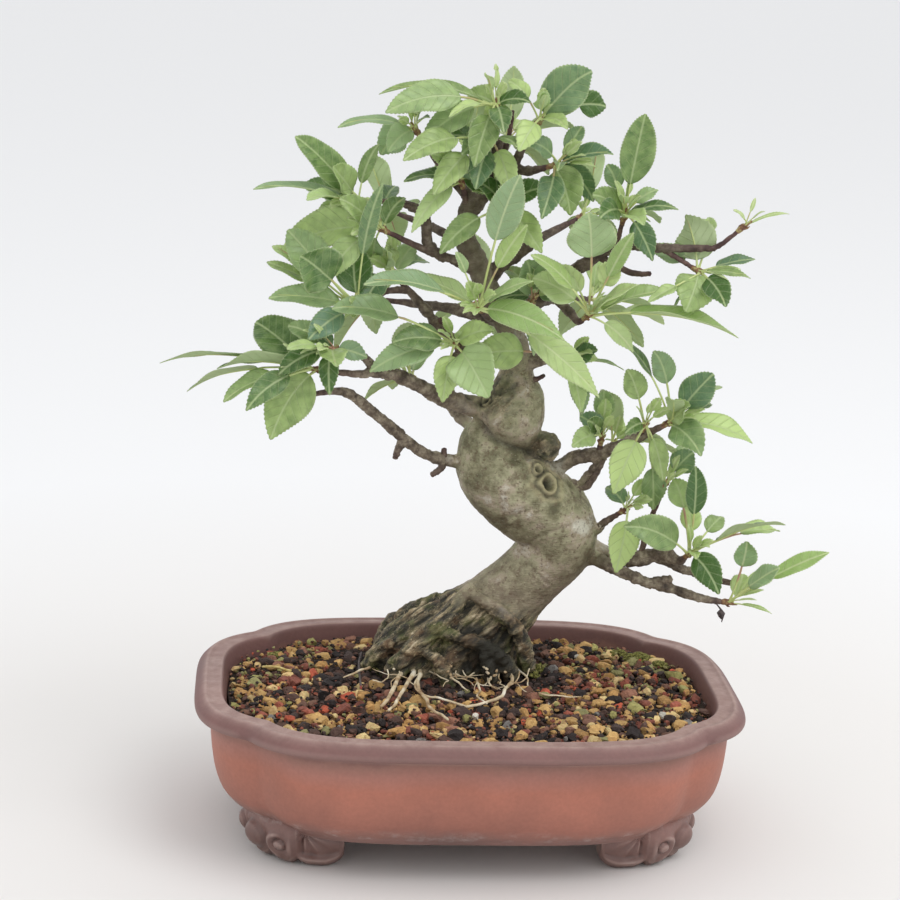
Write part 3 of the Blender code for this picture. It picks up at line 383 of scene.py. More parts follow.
# a ball: its share of the length, its height, its radius and how far it stands out, in mm
FOOT_BALLS = [(0.655, 9.8, 5.8, 3.0), (0.435, 9.0, 2.3, 1.8), (0.89, 11.5, 4.4, 2.0)]
FOOT_SHELL = (0.165, 0.155)  # the hollow of a shell: its middle and half width
FOOT_SHELL_DEPTH = 3.0
FOOT_SHELL_EDGE = 3.4      # the thick lower edge that is left under the hollow
FOOT_RIBS = (0.27, 15.0)   # where the shell's ribs meet: the share of the length and the height
FOOT_TONGUE = (0.36, 8.0)  # an upright tongue: its middle
FOOT_CRESCENT = (0.435, 8.6, 4.9)  # a crescent: its centre and its radius
FOOT_ALONG = 130
FOOT_UP = 30


def foot_bottom(share):
    """Height of the scalloped lower edge at a share of the foot's length."""
    highest = FOOT_TOP - FOOT_SCALLOP
    lowest = highest
    for centre, half, low in FOOT_LOBES:
        away = abs(share - centre) / half
        if away < 1:
            lowest = min(lowest, low + (highest - low) * (1 - (1 - away ** 2.3) ** (1 / 2.3)))
    return max(0.0, lowest - 0.3)


def bump(distance, width):
    """A soft hump: 1 at no distance, and soon nothing past the width."""
    return math.exp(-((distance / width) ** 2))


def foot_relief(share, z, length):
    """How far the face stands out, in mm: lobes with a rolled edge, a hollow shell, a tongue, balls."""
    edge = z - foot_bottom(share)
    out = 0.0
    for centre, half, _ in FOOT_LOBES:
        out = max(out, FOOT_LOBE_PUSH * math.sqrt(max(0.0, 1 - ((share - centre) / half) ** 2)))
    out += FOOT_ROLL[2] * bump(edge - FOOT_ROLL[0], FOOT_ROLL[1])
    # the first lobe is a shell: a hollow above its thick lower edge, with soft ribs that fan out
    across, above = (share - FOOT_RIBS[0]) * length, z - FOOT_RIBS[1]
    ledge = clamp((edge - FOOT_SHELL_EDGE) / 2.0) * clamp((FOOT_TOP - z) / 5.0)
    hollow = ledge * clamp((FOOT_SHELL[1] - abs(share - FOOT_SHELL[0])) / 0.035)
    out += -FOOT_SHELL_DEPTH * hollow + 0.35 * hollow * math.sin(11 * math.atan2(above, across))
    out += 1.5 * bump((share - FOOT_TONGUE[0]) * length, 1.6) * bump(z - FOOT_TONGUE[1], 6.0)
    # a crescent bends round the small ball of the second lobe
    crescent = math.hypot((share - FOOT_CRESCENT[0]) * length, z - FOOT_CRESCENT[1])
    out += 1.3 * bump(crescent - FOOT_CRESCENT[2], 1.2) * clamp((share - 0.41) * length / 3.0)
    for centre, middle, radius, height in FOOT_BALLS:
        away = math.hypot((share - centre) * length, z - middle) / radius
        out += height * max(0.0, 1 - away * away) ** 0.7 - 0.5 * bump(away - 1.15, 0.2)
    return out


def foot_shape(sx, sy):
    """One foot as a skin over upright sections along its line, mirrored by the signs."""
    line = smooth_line(FOOT_LINE, 24)
    length = sum(math.dist(a, b) for a, b in zip(line, line[1:]))
    rings = []
    for i in range(FOOT_ALONG + 1):
        share = i / FOOT_ALONG
        k = min(int(share * (len(line) - 1)), len(line) - 2)
        part = share * (len(line) - 1) - k
        x, y = (line[k][c] + (line[k + 1][c] - line[k][c]) * part for c in (0, 1))
        run = Vector((line[k + 1][0] - line[k][0], line[k + 1][1] - line[k][1])).normalized()
        low = foot_bottom(share)
        section = []
        for j in range(FOOT_UP + 1):
            z = FOOT_TOP + (low - FOOT_TOP) * j / FOOT_UP
            lean = (j / FOOT_UP) ** 3
            taper = min(1.0, 6 * share, 6 * (1 - share)) ** 0.5
            tuck = FOOT_TUCK * max(0.0, 1 - 3.5 * j / FOOT_UP) ** 2
            push = (foot_relief(share, z, length) - 0.9) * taper * (1 - lean ** 3)
            away = -FOOT_UNDERCUT * lean + push - tuck
            section.append((away, z))
        section += [(-FOOT_UNDERCUT - 1.2, low), (-FOOT_THICK + 1.5, low), (-FOOT_THICK, FOOT_TOP - 3.5)]
        rings.append([(sx * (x - run.y * away), sy * (y + run.x * away), z) for away, z in section])
    return skin(rings)


# %% One stoneware piece
DRILL_Z = 17.0             # the middle of what cuts a drainage hole
DRILL_LENGTH = 30.0
feet = [foot_shape(sx, sy) for sx in (-1, 1) for sy in (-1, 1)]
pot = make_piece("stoneware_pot", *wall)
for sx in (-1, 1):
    drill_mesh = bpy.data.meshes.new("drill")
    with edited(drill_mesh) as bm:
        bmesh.ops.create_cone(
            bm, cap_ends=True, segments=40, radius1=DRAIN_RADIUS * MM, radius2=DRAIN_RADIUS * MM,
            depth=DRILL_LENGTH * MM, matrix=Matrix.Translation(place((sx * DRAIN_X, 0, DRILL_Z))))
    drill = new_object("drill", drill_mesh)
    turn_out(pot)
    cut = pot.modifiers.new("drain", "BOOLEAN")
    cut.operation = "DIFFERENCE"
    cut.object = drill
    apply_modifiers(pot)
    bpy.data.objects.remove(drill, do_unlink=True)
with edited(pot.data) as bm:
    for points, faces in feet:
        made = [bm.verts.new(place(p)) for p in points]
        for face in faces:
            bm.faces.new([made[i] for i in face])
    bmesh.ops.recalc_face_normals(bm, faces=bm.faces)
pot.data.shade_smooth()
pot.data.set_sharp_from_angle(angle=math.radians(48))
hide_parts("pot")
print("faces in the pot:", len(pot.data.polygons))

# %% [markdown]
# ## Unglazed stoneware
# The clay is iron-rich stoneware, fired bare. What the eye reads is an orange-red belly, a greyer band under
# the lip that is painted shade of its overhang, a plum-brown lip rubbed pale along its edges, dark feet, and
# white lime that creeps up from the base. All of it depends on height, so the height in the scene drives the
# colours, and noise breaks each border. The up-facing top of the lip also gets painted light, partly as
# scuffs, and the hollows get painted shade. It is dry to the touch, so it is fairly rough.

# %% Material: unglazed stoneware
stoneware, tree, shader, spot = new_material("unglazed_stoneware", 0.62, 1.52)
height = add(tree, "SeparateXYZ", "Z", {0: spot})
cloud = add(
    tree, "TexNoise", "Fac", {"Vector": spot, "Scale": per_metre(38), "Detail": 5.0, "Roughness": 0.6})
grain = add(tree, "TexNoise", "Fac", {"Vector": spot, "Scale": per_metre(1.6), "Detail": 3.0})
# the border heights wander by a few millimetres
wander = add(tree, "Math", 0, {0: cloud, 1: 0.014}, operation="MULTIPLY")
wandering = add(tree, "Math", 0, {0: height, 1: wander}, operation="ADD")
level = add(tree, "MapRange", 0, {0: wandering, 1: 0.0, 2: 0.075})
# the greyer, darker stops just under the lip are painted shade of its overhang
band = add(
    tree, "ValToRGB", 0, {0: level}, stops=[(0.0, "#875F54"), (0.09, "#745850"), (0.24, "#785C56"),
    (0.33, "#8B675F"), (0.42, "#9F6859"), (0.66, "#AE6E5B"), (0.75, "#A67164"), (0.81, "#936B60"),
    (0.845, "#785450"), (0.92, "#7A5753"), (1.0, "#866561")])
patch = add(tree, "ValToRGB", 0, {0: cloud}, stops=[(0.35, 0.30), (0.7, 0.66)])
mixed = add(tree, "Mix", 2, {0: 0.34, 6: band, 7: patch}, data_type="RGBA", blend_type="OVERLAY")
speck = add(tree, "ValToRGB", 0, {0: grain}, stops=[(0.30, 0.42), (0.72, 0.58)])
specked = add(tree, "Mix", 2, {0: 0.35, 6: mixed, 7: speck}, data_type="RGBA", blend_type="OVERLAY")
# lime: a thin white bloom just over the base
lime_noise = add(
    tree, "TexNoise", "Fac", {"Vector": spot, "Scale": per_metre(7), "Detail": 7.0, "Roughness": 0.72})
lime_rise = add(tree, "MapRange", 0, {0: height, 1: 0.0150, 2: 0.0245, 3: 1.0, 4: 0.0})
lime_floor = add(tree, "MapRange", 0, {0: height, 1: 0.0165, 2: 0.0185})
lime_here = add(tree, "Math", 0, {0: lime_rise, 1: lime_floor}, operation="MULTIPLY")
lime_spots = add(tree, "ValToRGB", 0, {0: lime_noise}, stops=[(0.50, 0.0), (0.68, 1.0)])
lime = add(tree, "Math", 0, {0: lime_here, 1: lime_spots}, operation="MULTIPLY")
limed = add(tree, "Mix", 2, {0: lime, 6: specked, 7: "#C3B4AE"}, data_type="RGBA")
# the flat top of the lip is painted paler than its slanting face: partly scuffs, partly painted light where
# it faces up
faces_up = add(tree, "SeparateXYZ", "Z", {0: add(tree, "NewGeometry", "Normal")})
level_top = add(tree, "MapRange", 0, {0: faces_up, 1: 0.70, 2: 0.95})
on_lip = add(tree, "MapRange", 0, {0: height, 1: 0.0600, 2: 0.0612})
scuff = add(tree, "MapRange", 0, {0: lime_noise, 1: 0.35, 2: 0.65, 3: 0.35, 4: 0.95})
lip_top = add(tree, "Math", 0, {0: level_top, 1: on_lip}, operation="MULTIPLY")
lip_scuffs_and_painted_light = add(tree, "Math", 0, {0: lip_top, 1: scuff}, operation="MULTIPLY")
tone = add(tree, "Mix", 2, {0: lip_scuffs_and_painted_light, 6: limed, 7: "#A88D85"}, data_type="RGBA")
# edges rubbed pale by hands, and painted shade in the hollows: the shape's own curvature tells them apart
bends_out = add(tree, "NewGeometry", "Pointiness")
for stops, strength, over in (
        ([(0.515, 0.0), (0.56, 1.0)], 0.5, "#BFA69D"), ([(0.43, 1.0), (0.488, 0.0)], 0.7, "#4A3733")):
    toned = add(tree, "ValToRGB", 0, {0: bends_out}, stops)
    share = add(tree, "Math", 0, {0: toned, 1: strength}, operation="MULTIPLY")
    tone = add(tree, "Mix", 2, {0: share, 6: tone, 7: over}, data_type="RGBA")
fill(shader.inputs["Base Color"], tone)
# the feet are denser and catch small highlights
matt = add(tree, "MapRange", 0, {0: height, 1: 0.014, 2: 0.026, 3: 0.30, 4: 0.52})
rough = add(tree, "MapRange", 0, {0: cloud, 1: 0.3, 2: 0.7, 3: 0.0, 4: 0.18})
rough_sum = add(tree, "Math", 0, {0: matt, 1: rough}, operation="ADD")
fill(shader.inputs["Roughness"], rough_sum)
tooth = add(tree, "Bump", 0, {"Height": grain, "Strength": 0.35, "Distance": 0.00025})
fill(shader.inputs["Normal"], tooth)
coat(pot, stoneware)
print("stoneware nodes:", len(tree.nodes))

# %% [markdown]
# ## Drain meshes
# Squares of black polyethylene net lie under the soil over the two drainage holes. They are seen
# only from below, so the solids stay and get the dull black of moulded plastic with a faint grain.

# %% Material: moulded polyethylene
net = clouded("black_polyethylene", 0.5, 0.8, 2.0, [(0.3, "#1C1C1C"), (0.7, "#2B2A29")], ior=1.51)
for name in ("drain_mesh_left", "drain_mesh_right"):
    coat(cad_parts[name], net)

# %% [markdown]
# ## Soil
# The bed is dark damp soil that shows only between the stones, so its solid stays and gets an
# earth material. The stones themselves are pumice, red lava, fired clay and dark humus, 1 to 8 mm
# across. Particles would not be kept, so each stone is a small faceted rock that is turned, stretched
# and dented by seeded chance and set on the bed by a jittered grid, which avoids both rows and gaps.

# %% Where stones can lie
SOIL_EDGE_Z = 55.0
SOIL_CROWN_Z = 57.5
ROOT_CENTRE = (-6.0, 33.0)
ROOT_HALF = (37.0, 28.0)
INNER_INSET = 11.6


def root_distance(x, y):
    """1 on the edge of the roots' hole, more outside it."""
    return math.hypot((x - ROOT_CENTRE[0]) / ROOT_HALF[0], (y - ROOT_CENTRE[1]) / ROOT_HALF[1])


def edge_share(x, y):
    """0 in the pot's middle and 1 at its inner wall."""
    radius = float(plan_radius(np.array([math.atan2(y, x)]), INNER_INSET)[0])
    return math.hypot(x, y) / radius


def soil_z(x, y):
    """Height of the bed, which is domed and a little uneven."""
    dome = (SOIL_EDGE_Z - SOIL_CROWN_Z) * min(1.0, edge_share(x, y)) ** 3
    return SOIL_CROWN_Z + dome + 0.5 * noise.noise(Vector((x, y, 0)) * 0.08)


# %% One stone


def ball(subdivisions):
    """Points and faces of a unit icosphere."""
    bm = bmesh.new()
    bmesh.ops.create_icosphere(bm, subdivisions=subdivisions, radius=1.0)
    points = np.array([tuple(v.co) for v in bm.verts])
    faces = [tuple(v.index for v in f.verts) for f in bm.faces]
    bm.free()
    return points, faces


BALL = ball(2)
CRUMB = ball(1)
STONE_CUTS = 6
STONE_DENT = 0.17
STONE_STRETCH = ((0.85, 1.3), (0.75, 1.0), (0.6, 0.85))


def stone(rng, x, y, z, size, form=BALL):
    """A faceted lump: an icosphere cut by random planes, dented, stretched and turned."""
    points = form[0].copy()
    for _ in range(STONE_CUTS):
        plane = Vector((rng.gauss(0, 1), rng.gauss(0, 1), rng.gauss(0, 1))).normalized()
        beyond = np.maximum(points @ np.array(plane) - rng.uniform(0.40, 0.85), 0.0)
        points = points - beyond[:, None] * np.array(plane)
    points *= 1 + np.array([rng.uniform(-STONE_DENT, STONE_DENT) for _ in points])[:, None]
    half = size / 2
    points *= np.array([half * rng.uniform(*limits) for limits in STONE_STRETCH])
    turn = Matrix.Rotation(rng.uniform(0, 6.28), 3, "Z") @ Matrix.Rotation(rng.uniform(-0.5, 0.5), 3, "X")
    return points @ np.array(turn).T + np.array([x, y, z])


# %% Strew the stones
# a layer: the spacing, how high it lies, its smallest and largest stone, in mm, the share left out
# and the form; the last layer is the dark crumbs of humus that lie between and on the stones
LAYERS = [
    (3.7, -0.5, 3.2, 4.8, 0.0, CRUMB), (3.7, 1.0, 2.2, 8.2, 0.20, BALL),
    (2.9, 2.0, 1.1, 2.4, 0.30, CRUMB)]
HUMUS_SHARE = 0.62         # crumbs take only the kinds up to here, which are dark
GRID = (40, 30)            # steps to each side of the middle
JITTER = 0.4               # of the spacing
ROOT_GAP = 0.93            # no stone lies nearer the roots' middle than this share of their hole
PUMICE = (0.66, 0.21)      # where pale pumice starts in the kinds, and how much there is
PALE_CHIP = (0, -42)       # lies by itself in front of the roots
ALGAE = (0.92, 0.974)      # the stretch of the kinds below that is green
rng = random.Random(SEED)
stones = {"left": [], "right": []}
for layer, (spacing, lift, small, large, left_out, form) in enumerate(LAYERS):
    shift = layer * spacing / 2
    for i in range(-GRID[0], GRID[0] + 1):
        for j in range(-GRID[1], GRID[1] + 1):
            x = i * spacing + shift + rng.uniform(-JITTER, JITTER) * spacing
            y = j * spacing + shift + rng.uniform(-JITTER, JITTER) * spacing
            size = small + (large - small) * rng.random() ** 1.9
            pick, tone = rng.random(), rng.random()
            if edge_share(x, y) > 1.0 - size * 0.42 / 75 or root_distance(x, y) < ROOT_GAP:
                continue
            if rng.random() < left_out:
                continue
            if layer == 2:
                pick *= HUMUS_SHARE
            # damp soil by the roots is fine and dark, and algae grow on the shaded back corners
            darkening = max(0.0, 1.3 - abs(root_distance(x, y + 8) - 1.0) * 2.0)
            if rng.random() < darkening * 0.8:
                pick, size = pick * 0.45, size * 0.8
            elif size > 4.2 and rng.random() < 0.36:
                pick = PUMICE[0] + PUMICE[1] * rng.random()
            if x > 45 and y > 0 and rng.random() < 0.22 or x < -60 and y > 10 and rng.random() < 0.12:
                pick = rng.uniform(*ALGAE)
            z = soil_z(x, y) + lift + rng.uniform(-0.5, 0.7)
            side = "left" if x < ROOT_CENTRE[0] else "right"
            stones[side].append((stone(rng, x, y, z, size, form), form[1], pick, tone))
stones["right"].append((stone(rng, *PALE_CHIP, soil_z(*PALE_CHIP) + 3.4, 4.6), BALL[1], 0.995, 0.9))
print("stones:", {side: len(found) for side, found in stones.items()})

# %% Material: grit
# pumice is pale ochre and holed, lava is brick red, baked clay brown, humus nearly black, and
# where damp stays a film of algae turns stones olive; one number per stone picks among them
grit, tree, shader, spot = new_material("pumice_lava_and_clay_grit", 0.88)
pick = add(tree, "Attribute", "Fac", attribute_name="pick")
tone = add(tree, "Attribute", "Fac", attribute_name="tone")
kinds = add(
    tree, "ValToRGB", 0, {0: pick}, stops=[(0.0, "#302928"), (0.14, "#463834"), (0.26, "#5D453C"),
    (0.38, "#765546"), (0.48, "#864F41"), (0.58, "#946855"), (0.66, "#B48B56"), (0.73, "#C59F66"),
    (0.81, "#D8BB84"), (0.86, "#9C5745"), (0.90, "#C05F45"), (0.92, "#948F60"), (0.955, "#A39D62"),
    (0.975, "#86827E"), (0.992, "#CBC6BA")])
kinds.node.color_ramp.interpolation = "CONSTANT"
wear = add(
    tree, "TexNoise", "Fac", {"Vector": spot, "Scale": per_metre(1.5), "Detail": 4.0, "Roughness": 0.65})
wear_shade = add(tree, "ValToRGB", 0, {0: wear}, stops=[(0.3, 0.28), (0.72, 0.74)])
toned = add(tree, "Mix", 2, {0: 0.7, 6: kinds, 7: wear_shade}, data_type="RGBA", blend_type="OVERLAY")
dim = add(tree, "MapRange", 0, {0: tone, 3: 0.72, 4: 1.12})
shaded = add(tree, "Mix", 2, {0: 1.0, 6: toned, 7: dim}, data_type="RGBA", blend_type="MULTIPLY")
fill(shader.inputs["Base Color"], shaded)
pores = add(tree, "TexVoronoi", "Distance", {"Vector": spot, "Scale": per_metre(0.7)})
pitted = add(tree, "Bump", 0, {"Height": pores, "Strength": 0.6, "Distance": 0.0003})
fill(shader.inputs["Normal"], pitted)

# %% Grit pieces
for side, found in stones.items():
    points, faces = join([(shape.tolist(), shape_faces) for shape, shape_faces, _, _ in found])
    counts = [len(shape) for shape, _, _, _ in found]
    layer = make_piece(f"grit_{side}", points, faces, smooth=False)
    mark(layer, "pick", np.repeat([p for _, _, p, _ in found], counts))
    mark(layer, "tone", np.repeat([t for _, _, _, t in found], counts))
    coat(layer, grit)
    print(layer.name, "triangles", len(faces))

# %% Material: damp earth on the bed itself
earth = clouded(
    "damp_earth", 0.92, 3, 6.0, [(0.3, "#1F1813"), (0.55, "#33271F"), (0.75, "#4A382B")],
    grain=0.7, ior=1.4, relief=(0.9, 1.0))
coat(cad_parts["soil"], earth)

# %% [markdown]
# ## Wood
# The trunk snakes up out of a knot of old surface roots, and limbs leave it at swollen collars. The
# centre lines below are the same as in the solids. Plain tubes would meet in hard seams, so the
# thick wood is fused by a voxel remesh and then pushed in and out: coarse ridges and pits on the
# roots, fine dimples on the smooth bark, folds at the bends, and ring-shaped pruning scars.

# %% Centre lines of the wood, as (x, y, z, radius)
TRUNK = [
    (9, 31, 76, 16.5), (16, 30, 86, 16.5), (22, 30, 93, 14.8),
    (32, 29, 104, 14.6), (39, 28, 115, 16.3), (36, 27, 126, 17.3), (24, 26, 135, 18.4),
    (12, 25, 146, 17.4), (9, 24, 156, 15), (13, 23, 164, 13.6), (15, 22, 172, 15),
    (17, 21, 180, 12.6), (17, 20, 187, 8.5), (17, 19, 195, 6), (15, 18, 205, 5.2),
    (9, 17, 215, 5.2), (3, 15, 225, 4.9), (-2, 13, 237, 4.6), (-7, 12, 246, 4.2),
    (-7, 10, 258, 3.8), (-3, 9, 269, 3.4), (2, 8, 278, 2.6), (4, 6, 288, 1.6),
]
ROOT_MASS = [
    (-6, 33, 52, 30, 22), (-6, 33, 56.5, 31, 23), (-6, 32, 60, 34, 25), (-6.2, 32, 67, 33.5, 24.5),
    (-3.8, 32, 74, 29.5, 23), (1.2, 31, 81, 25, 21), (7.2, 30.5, 87, 19, 18.5), (10.5, 30, 92, 14.5, 16),
    (13, 30, 96, 11, 12),
]
LIMBS = {
    "low_left_under": [
        (2, 24, 149, 4), (-7, 22, 151, 2.8), (-20, 17, 155, 2.4), (-32, 10, 165, 2.3),
        (-44, 4, 176, 2.2), (-55, -3, 185, 1.8), (-68, -8, 185, 1.0)],
    "low_left": [
        (10, 22, 173, 5.5), (-2, 18, 176, 4), (-13, 12, 180, 3.6), (-18, 8, 183, 3.2),
        (-30, 0, 190, 2.8), (-39, -5, 194, 2.6), (-50, -10, 194, 1.6), (-65, -14, 196, 1.0)],
    "left_inner": [
        (-12, 12, 181, 3.4), (-13, 9, 188, 3), (-11, 7, 195, 2.6), (-8, 6, 203, 2.2),
        (-17, 7, 211, 2.2), (-23, 7, 218, 2.1), (-34, 6, 230, 1.0)],
    "left_purple": [(0, 14, 231, 2.4), (-11, 9, 238, 1.8), (-24, 4, 243, 1.5), (-40, -4, 251, 0.9)],
    "left_high": [
        (-15, 8, 239, 2.2), (-23, 5, 245, 2.4), (-25, 4, 257, 2.2), (-35, 3, 262, 1.4), (-48, 2, 262, 0.9)],
    "right_tip": [
        (11, 18, 212, 4.4), (23, 15, 221, 3.4), (32, 12, 231, 2.8), (47, 7, 242, 2.2), (58, 4, 247, 2),
        (70, 0, 247, 1.8), (87, -4, 248, 1.4), (93, -6, 249, 1.1), (101, -8, 256, 0.8)],
    "fork_mid": [
        (1, 14, 229, 3.4), (9, 14, 237, 3), (16, 13, 242, 2.8), (19, 10, 249, 1.8), (10, 4, 259, 0.9)],
    "collar_right": [(17, 19, 193, 4.2), (25, 17, 196, 3), (34, 12, 197, 1.2)],
    "mid_right_tip": [
        (25, 26, 149, 5), (36, 24, 148, 3.3), (43, 20, 154, 3), (53, 16, 157, 2.8), (62, 11, 162, 2.4),
        (68, 8, 166, 2), (77, 4, 172, 1.2)],
    "low_right_tip": [
        (47, 28, 109, 5), (55, 24, 109, 3.4), (66, 18, 105, 2.6), (75, 14, 102, 2.4), (86, 11, 100, 2),
        (98, 8, 97, 1.8), (107, 6, 96, 1.2)],
    "low_right": [
        (51, 32, 113, 5), (63, 30, 108, 3.4), (72, 24, 109, 3.2), (83, 18, 113, 2.9), (89, 12, 112, 2),
        (91, 8, 115, 1.0)],
    "low_right_inner": [(47, 26, 121, 3.5), (54, 22, 122, 2.2), (57, 19, 126, 1.6), (63, 14, 132, 1.0)],
    "high_right": [
        (-7, 11, 254, 3), (-1, 10, 265, 2.6), (8, 8, 275, 2.2), (17, 6, 276, 1.8), (24, 4, 278, 1.0)],
    "apex_left": [(3, 7, 284, 1.7), (2, 2, 299, 0.9)],
    "apex_right": [(10, 8, 275, 2), (13, 5, 284, 1.6), (18, 2, 294, 0.9)],
    "left_rosette": [(-43, -7, 194, 2), (-47, -10, 200, 1.6), (-53, -13, 204, 1.2), (-58, -16, 205, 0.9)],
    "spur_left": [(-8, 7, 201, 1.9), (-10, 1, 204, 0.9)],
    "left_mid": [(-30, 6, 226, 1.6), (-39, 2, 226, 1.3), (-49, -6, 222, 0.9)],
    "centre_front": [(9, 16, 215, 2.6), (4, 8, 215, 1.8), (-1, -4, 220, 1.0)],
    "centre_right": [(14, 18, 208, 2.2), (18, 12, 215, 1.5), (20, 8, 221, 0.9)],
    "right_front": [(28, 14, 225, 2), (35, 6, 220, 1.8), (39, 0, 216, 1.4), (41, -4, 218, 0.9)],
    "mid_right_near": [(53, 16, 157, 1.9), (53, 13, 162, 0.9)],
    "mid_right": [(68, 8, 166, 1.6), (69, 5, 170, 0.9)],
    "low_right_twig": [(74, 23, 110, 1.4), (77, 18, 128, 1.1), (80, 12, 142, 0.9)],
    "right_cluster": [(72, 0, 247, 1.4), (77, -2, 244, 1.1), (84, -4, 240, 0.9)],
    "right_high": [(52, 6, 244, 1.5), (54, 3, 250, 1.1), (55, 0, 257, 0.9)],
    "high_left": [(-1, 9, 273, 1.6), (0, 6, 284, 0.9)],
    "far_left_top": [(-6, 10, 263, 1.8), (-17, 8, 274, 1.4), (-28, 4, 289, 0.9)],
    "fork_left": [(-7, 10, 259, 1.8), (-10, 4, 269, 0.9)],
    "back_low_left": [(8, 26, 158, 3), (-6, 42, 168, 2.2), (-22, 54, 178, 0.9)],
    "back_left": [(12, 18, 211, 3), (-12, 34, 214, 2.2), (-38, 50, 214, 0.9)],
    "back_left_high": [(-5, 12, 243, 2.4), (-18, 28, 248, 1.8), (-34, 44, 252, 0.9)],
    "back_mid": [(16, 19, 202, 3), (14, 42, 208, 2.2), (8, 62, 212, 0.9)],
    "back_right": [(24, 15, 221, 2.4), (38, 34, 220, 1.8), (50, 54, 216, 0.9)],
    "back_right_high": [(12, 14, 239, 2.4), (26, 28, 246, 1.8), (42, 42, 252, 0.9)],
    "back_top": [(-7, 11, 256, 2.4), (-6, 28, 266, 1.8), (-4, 44, 274, 0.9)],
    "back_crown": [(2, 8, 278, 2), (5, 20, 281, 1.4), (9, 31, 284, 0.9)],
    "back_low_right": [(38, 30, 124, 4), (50, 42, 136, 2.2), (62, 52, 150, 0.9)],
}
STUBS = [
    [(-30, 12, 162, 1.8), (-32, 10, 158, 1.5), (-33, 9, 155, 1.2)],
    [(-12, 20, 153, 1.8), (-13, 18, 149, 1.5), (-17, 17, 146, 1.2)],
    [(-12, 20, 152, 1.6), (-12, 19, 157, 1.1)],
    [(28, 24, 152, 5), (31, 22, 158, 6), (33, 21, 162, 5)],
    [(37, 26, 140, 3), (43, 24, 142, 1.8), (49, 22, 141, 1.5), (53, 18, 149, 1.4), (55, 16, 156, 1.6)],
    [(80, 19, 112, 2.6), (91, 18, 107, 1.9), (99, 17, 105, 1.6), (110, 16, 102, 1.3), (120, 15, 101, 1.0)],
    [(78, 14, 102, 2), (86, 11, 104, 1.7)],
    [(-9, 8, 204, 1.6), (-15, 7, 210, 1.1), (-17, 5, 215, 0.8)],
    [(47, 7, 242, 1.6), (60, 5, 236, 1.3), (68, 2, 236, 1.0)],
    [(17, 20, 190, 2), (24, 17, 188, 1.2), (28, 15, 190, 0.8)],
    [(6, 8, 280, 1.4), (8, 6, 290, 1.0), (9, 5, 300, 0.7)],
]
SURFACE_ROOTS = [
    [(-25, 16, 62, 1.7), (-29, 0, 61.2, 1.4), (-33, -18, 60.9, 1.2), (-38, -34, 60.6, 0.9)],
    [(-21, 14, 62, 1.5), (-24, -2, 61.2, 1.3), (-30, -22, 60.7, 1.0), (-35, -39, 60.4, 0.8)],
    [(-18, 13, 62, 1.6), (-21, -6, 61.4, 1.2), (-18, -31, 60.7, 1.0), (-12, -47, 60.4, 0.8)],
    [(16, 18, 62, 1.6), (19, 0, 61.2, 1.1), (14, -15, 60.8, 1.0), (5, -28, 60.6, 0.9), (-5, -32, 60.6, 0.8)],
]

# %% Ridges of the old roots
# each ridge runs over the root mass from the trunk to the soil and winds a little on the way


def mass_ring(z, angle, lift):
    """A point on the root mass at a height and an angle, lifted out by some millimetres."""
    heights = [row[2] for row in ROOT_MASS]
    x, y, half_x, half_y = (np.interp(z, heights, [row[c] for row in ROOT_MASS]) for c in (0, 1, 3, 4))
    return (x + (half_x + lift) * math.cos(angle), y + (half_y + lift) * math.sin(angle), z)


SHOW_RIDGES = [
    [(2, 15, 99, 2.4), (-3, 12, 94, 3.0), (-8, 10, 87, 3.8), (-15, 9, 80, 4.2), (-24, 9, 70, 4.6),
     (-31, 11, 60, 5.0)],
    [(0, 14, 96, 2.2), (6, 12, 93, 2.8), (13, 11, 89, 3.0), (19, 11, 83, 3.2), (24, 13, 76, 3.4),
     (27, 16, 62, 4.0)],
    [(-14, 9, 80, 2.6), (-5, 6, 78.5, 3.0), (5, 5, 76, 3.2), (14, 6, 70, 3.4), (20, 9, 60, 3.8)],
    [(-24, 11, 73, 2.4), (-15, 6, 70, 3.0), (-9, 4.5, 63, 3.4), (-7, 5, 56, 3.6)],
    [(-30, 16, 72, 3.0), (-37, 20, 66, 3.6), (-41, 22, 58, 4.0)],
    [(6, 6, 74, 2.2), (9, 4, 67, 2.8), (12, 4.5, 58, 3.2)],
]
CHANCE_RIDGES = 17
rng = random.Random(SEED + 1)
ridges = list(SHOW_RIDGES)
for k in range(CHANCE_RIDGES):
    angle = 2 * math.pi * (k + rng.uniform(-0.3, 0.3)) / CHANCE_RIDGES
    wind = rng.uniform(-0.9, 0.5)
    top = rng.uniform(80, 92)
    thick = rng.uniform(2.2, 4.4)
    line = []
    for s in range(8):
        share = s / 7
        z = top + (55 - top) * share
        swell = thick * (0.75 + 0.5 * share) * rng.uniform(0.85, 1.15)
        line.append((*mass_ring(z, angle + wind * share + rng.uniform(-0.08, 0.08), -swell * 0.55), swell))
    ridges.append(line)
print("root ridges:", len(ridges))

# %% Fuse the thick wood by voxels
WOOD_VOXEL = 0.8           # mm
THIN_WOOD = 1.75           # limbs go on as separate tubes from this radius
CORE_SHARE = 0.96          # the root core lies a little inside the measured mass
CORE_SIDES = 40
root_core = skin([
    [(x + hx * CORE_SHARE * math.cos(a), y + hy * CORE_SHARE * math.sin(a), z)
     for a in (2 * math.pi * j / CORE_SIDES for j in range(CORE_SIDES))] for x, y, z, hx, hy in ROOT_MASS])
thick_shapes = [tube(smooth_line(TRUNK, 5), 32), root_core]
thick_shapes += [tube(smooth_line(line, 4), 12) for line in ridges]
for line in list(LIMBS.values()) + STUBS:
    curve = [p for p in smooth_line(line, 6) if p[3] >= THIN_WOOD * 0.9]
    if len(curve) > 3:
        thick_shapes.append(tube(curve, 14))
thick = make_piece("trunk_and_roots", *join(thick_shapes))
turn_out(thick)
voxels = thick.modifiers.new("voxels", "REMESH")
voxels.mode = "VOXEL"
voxels.voxel_size = WOOD_VOXEL * MM
apply_modifiers(thick)
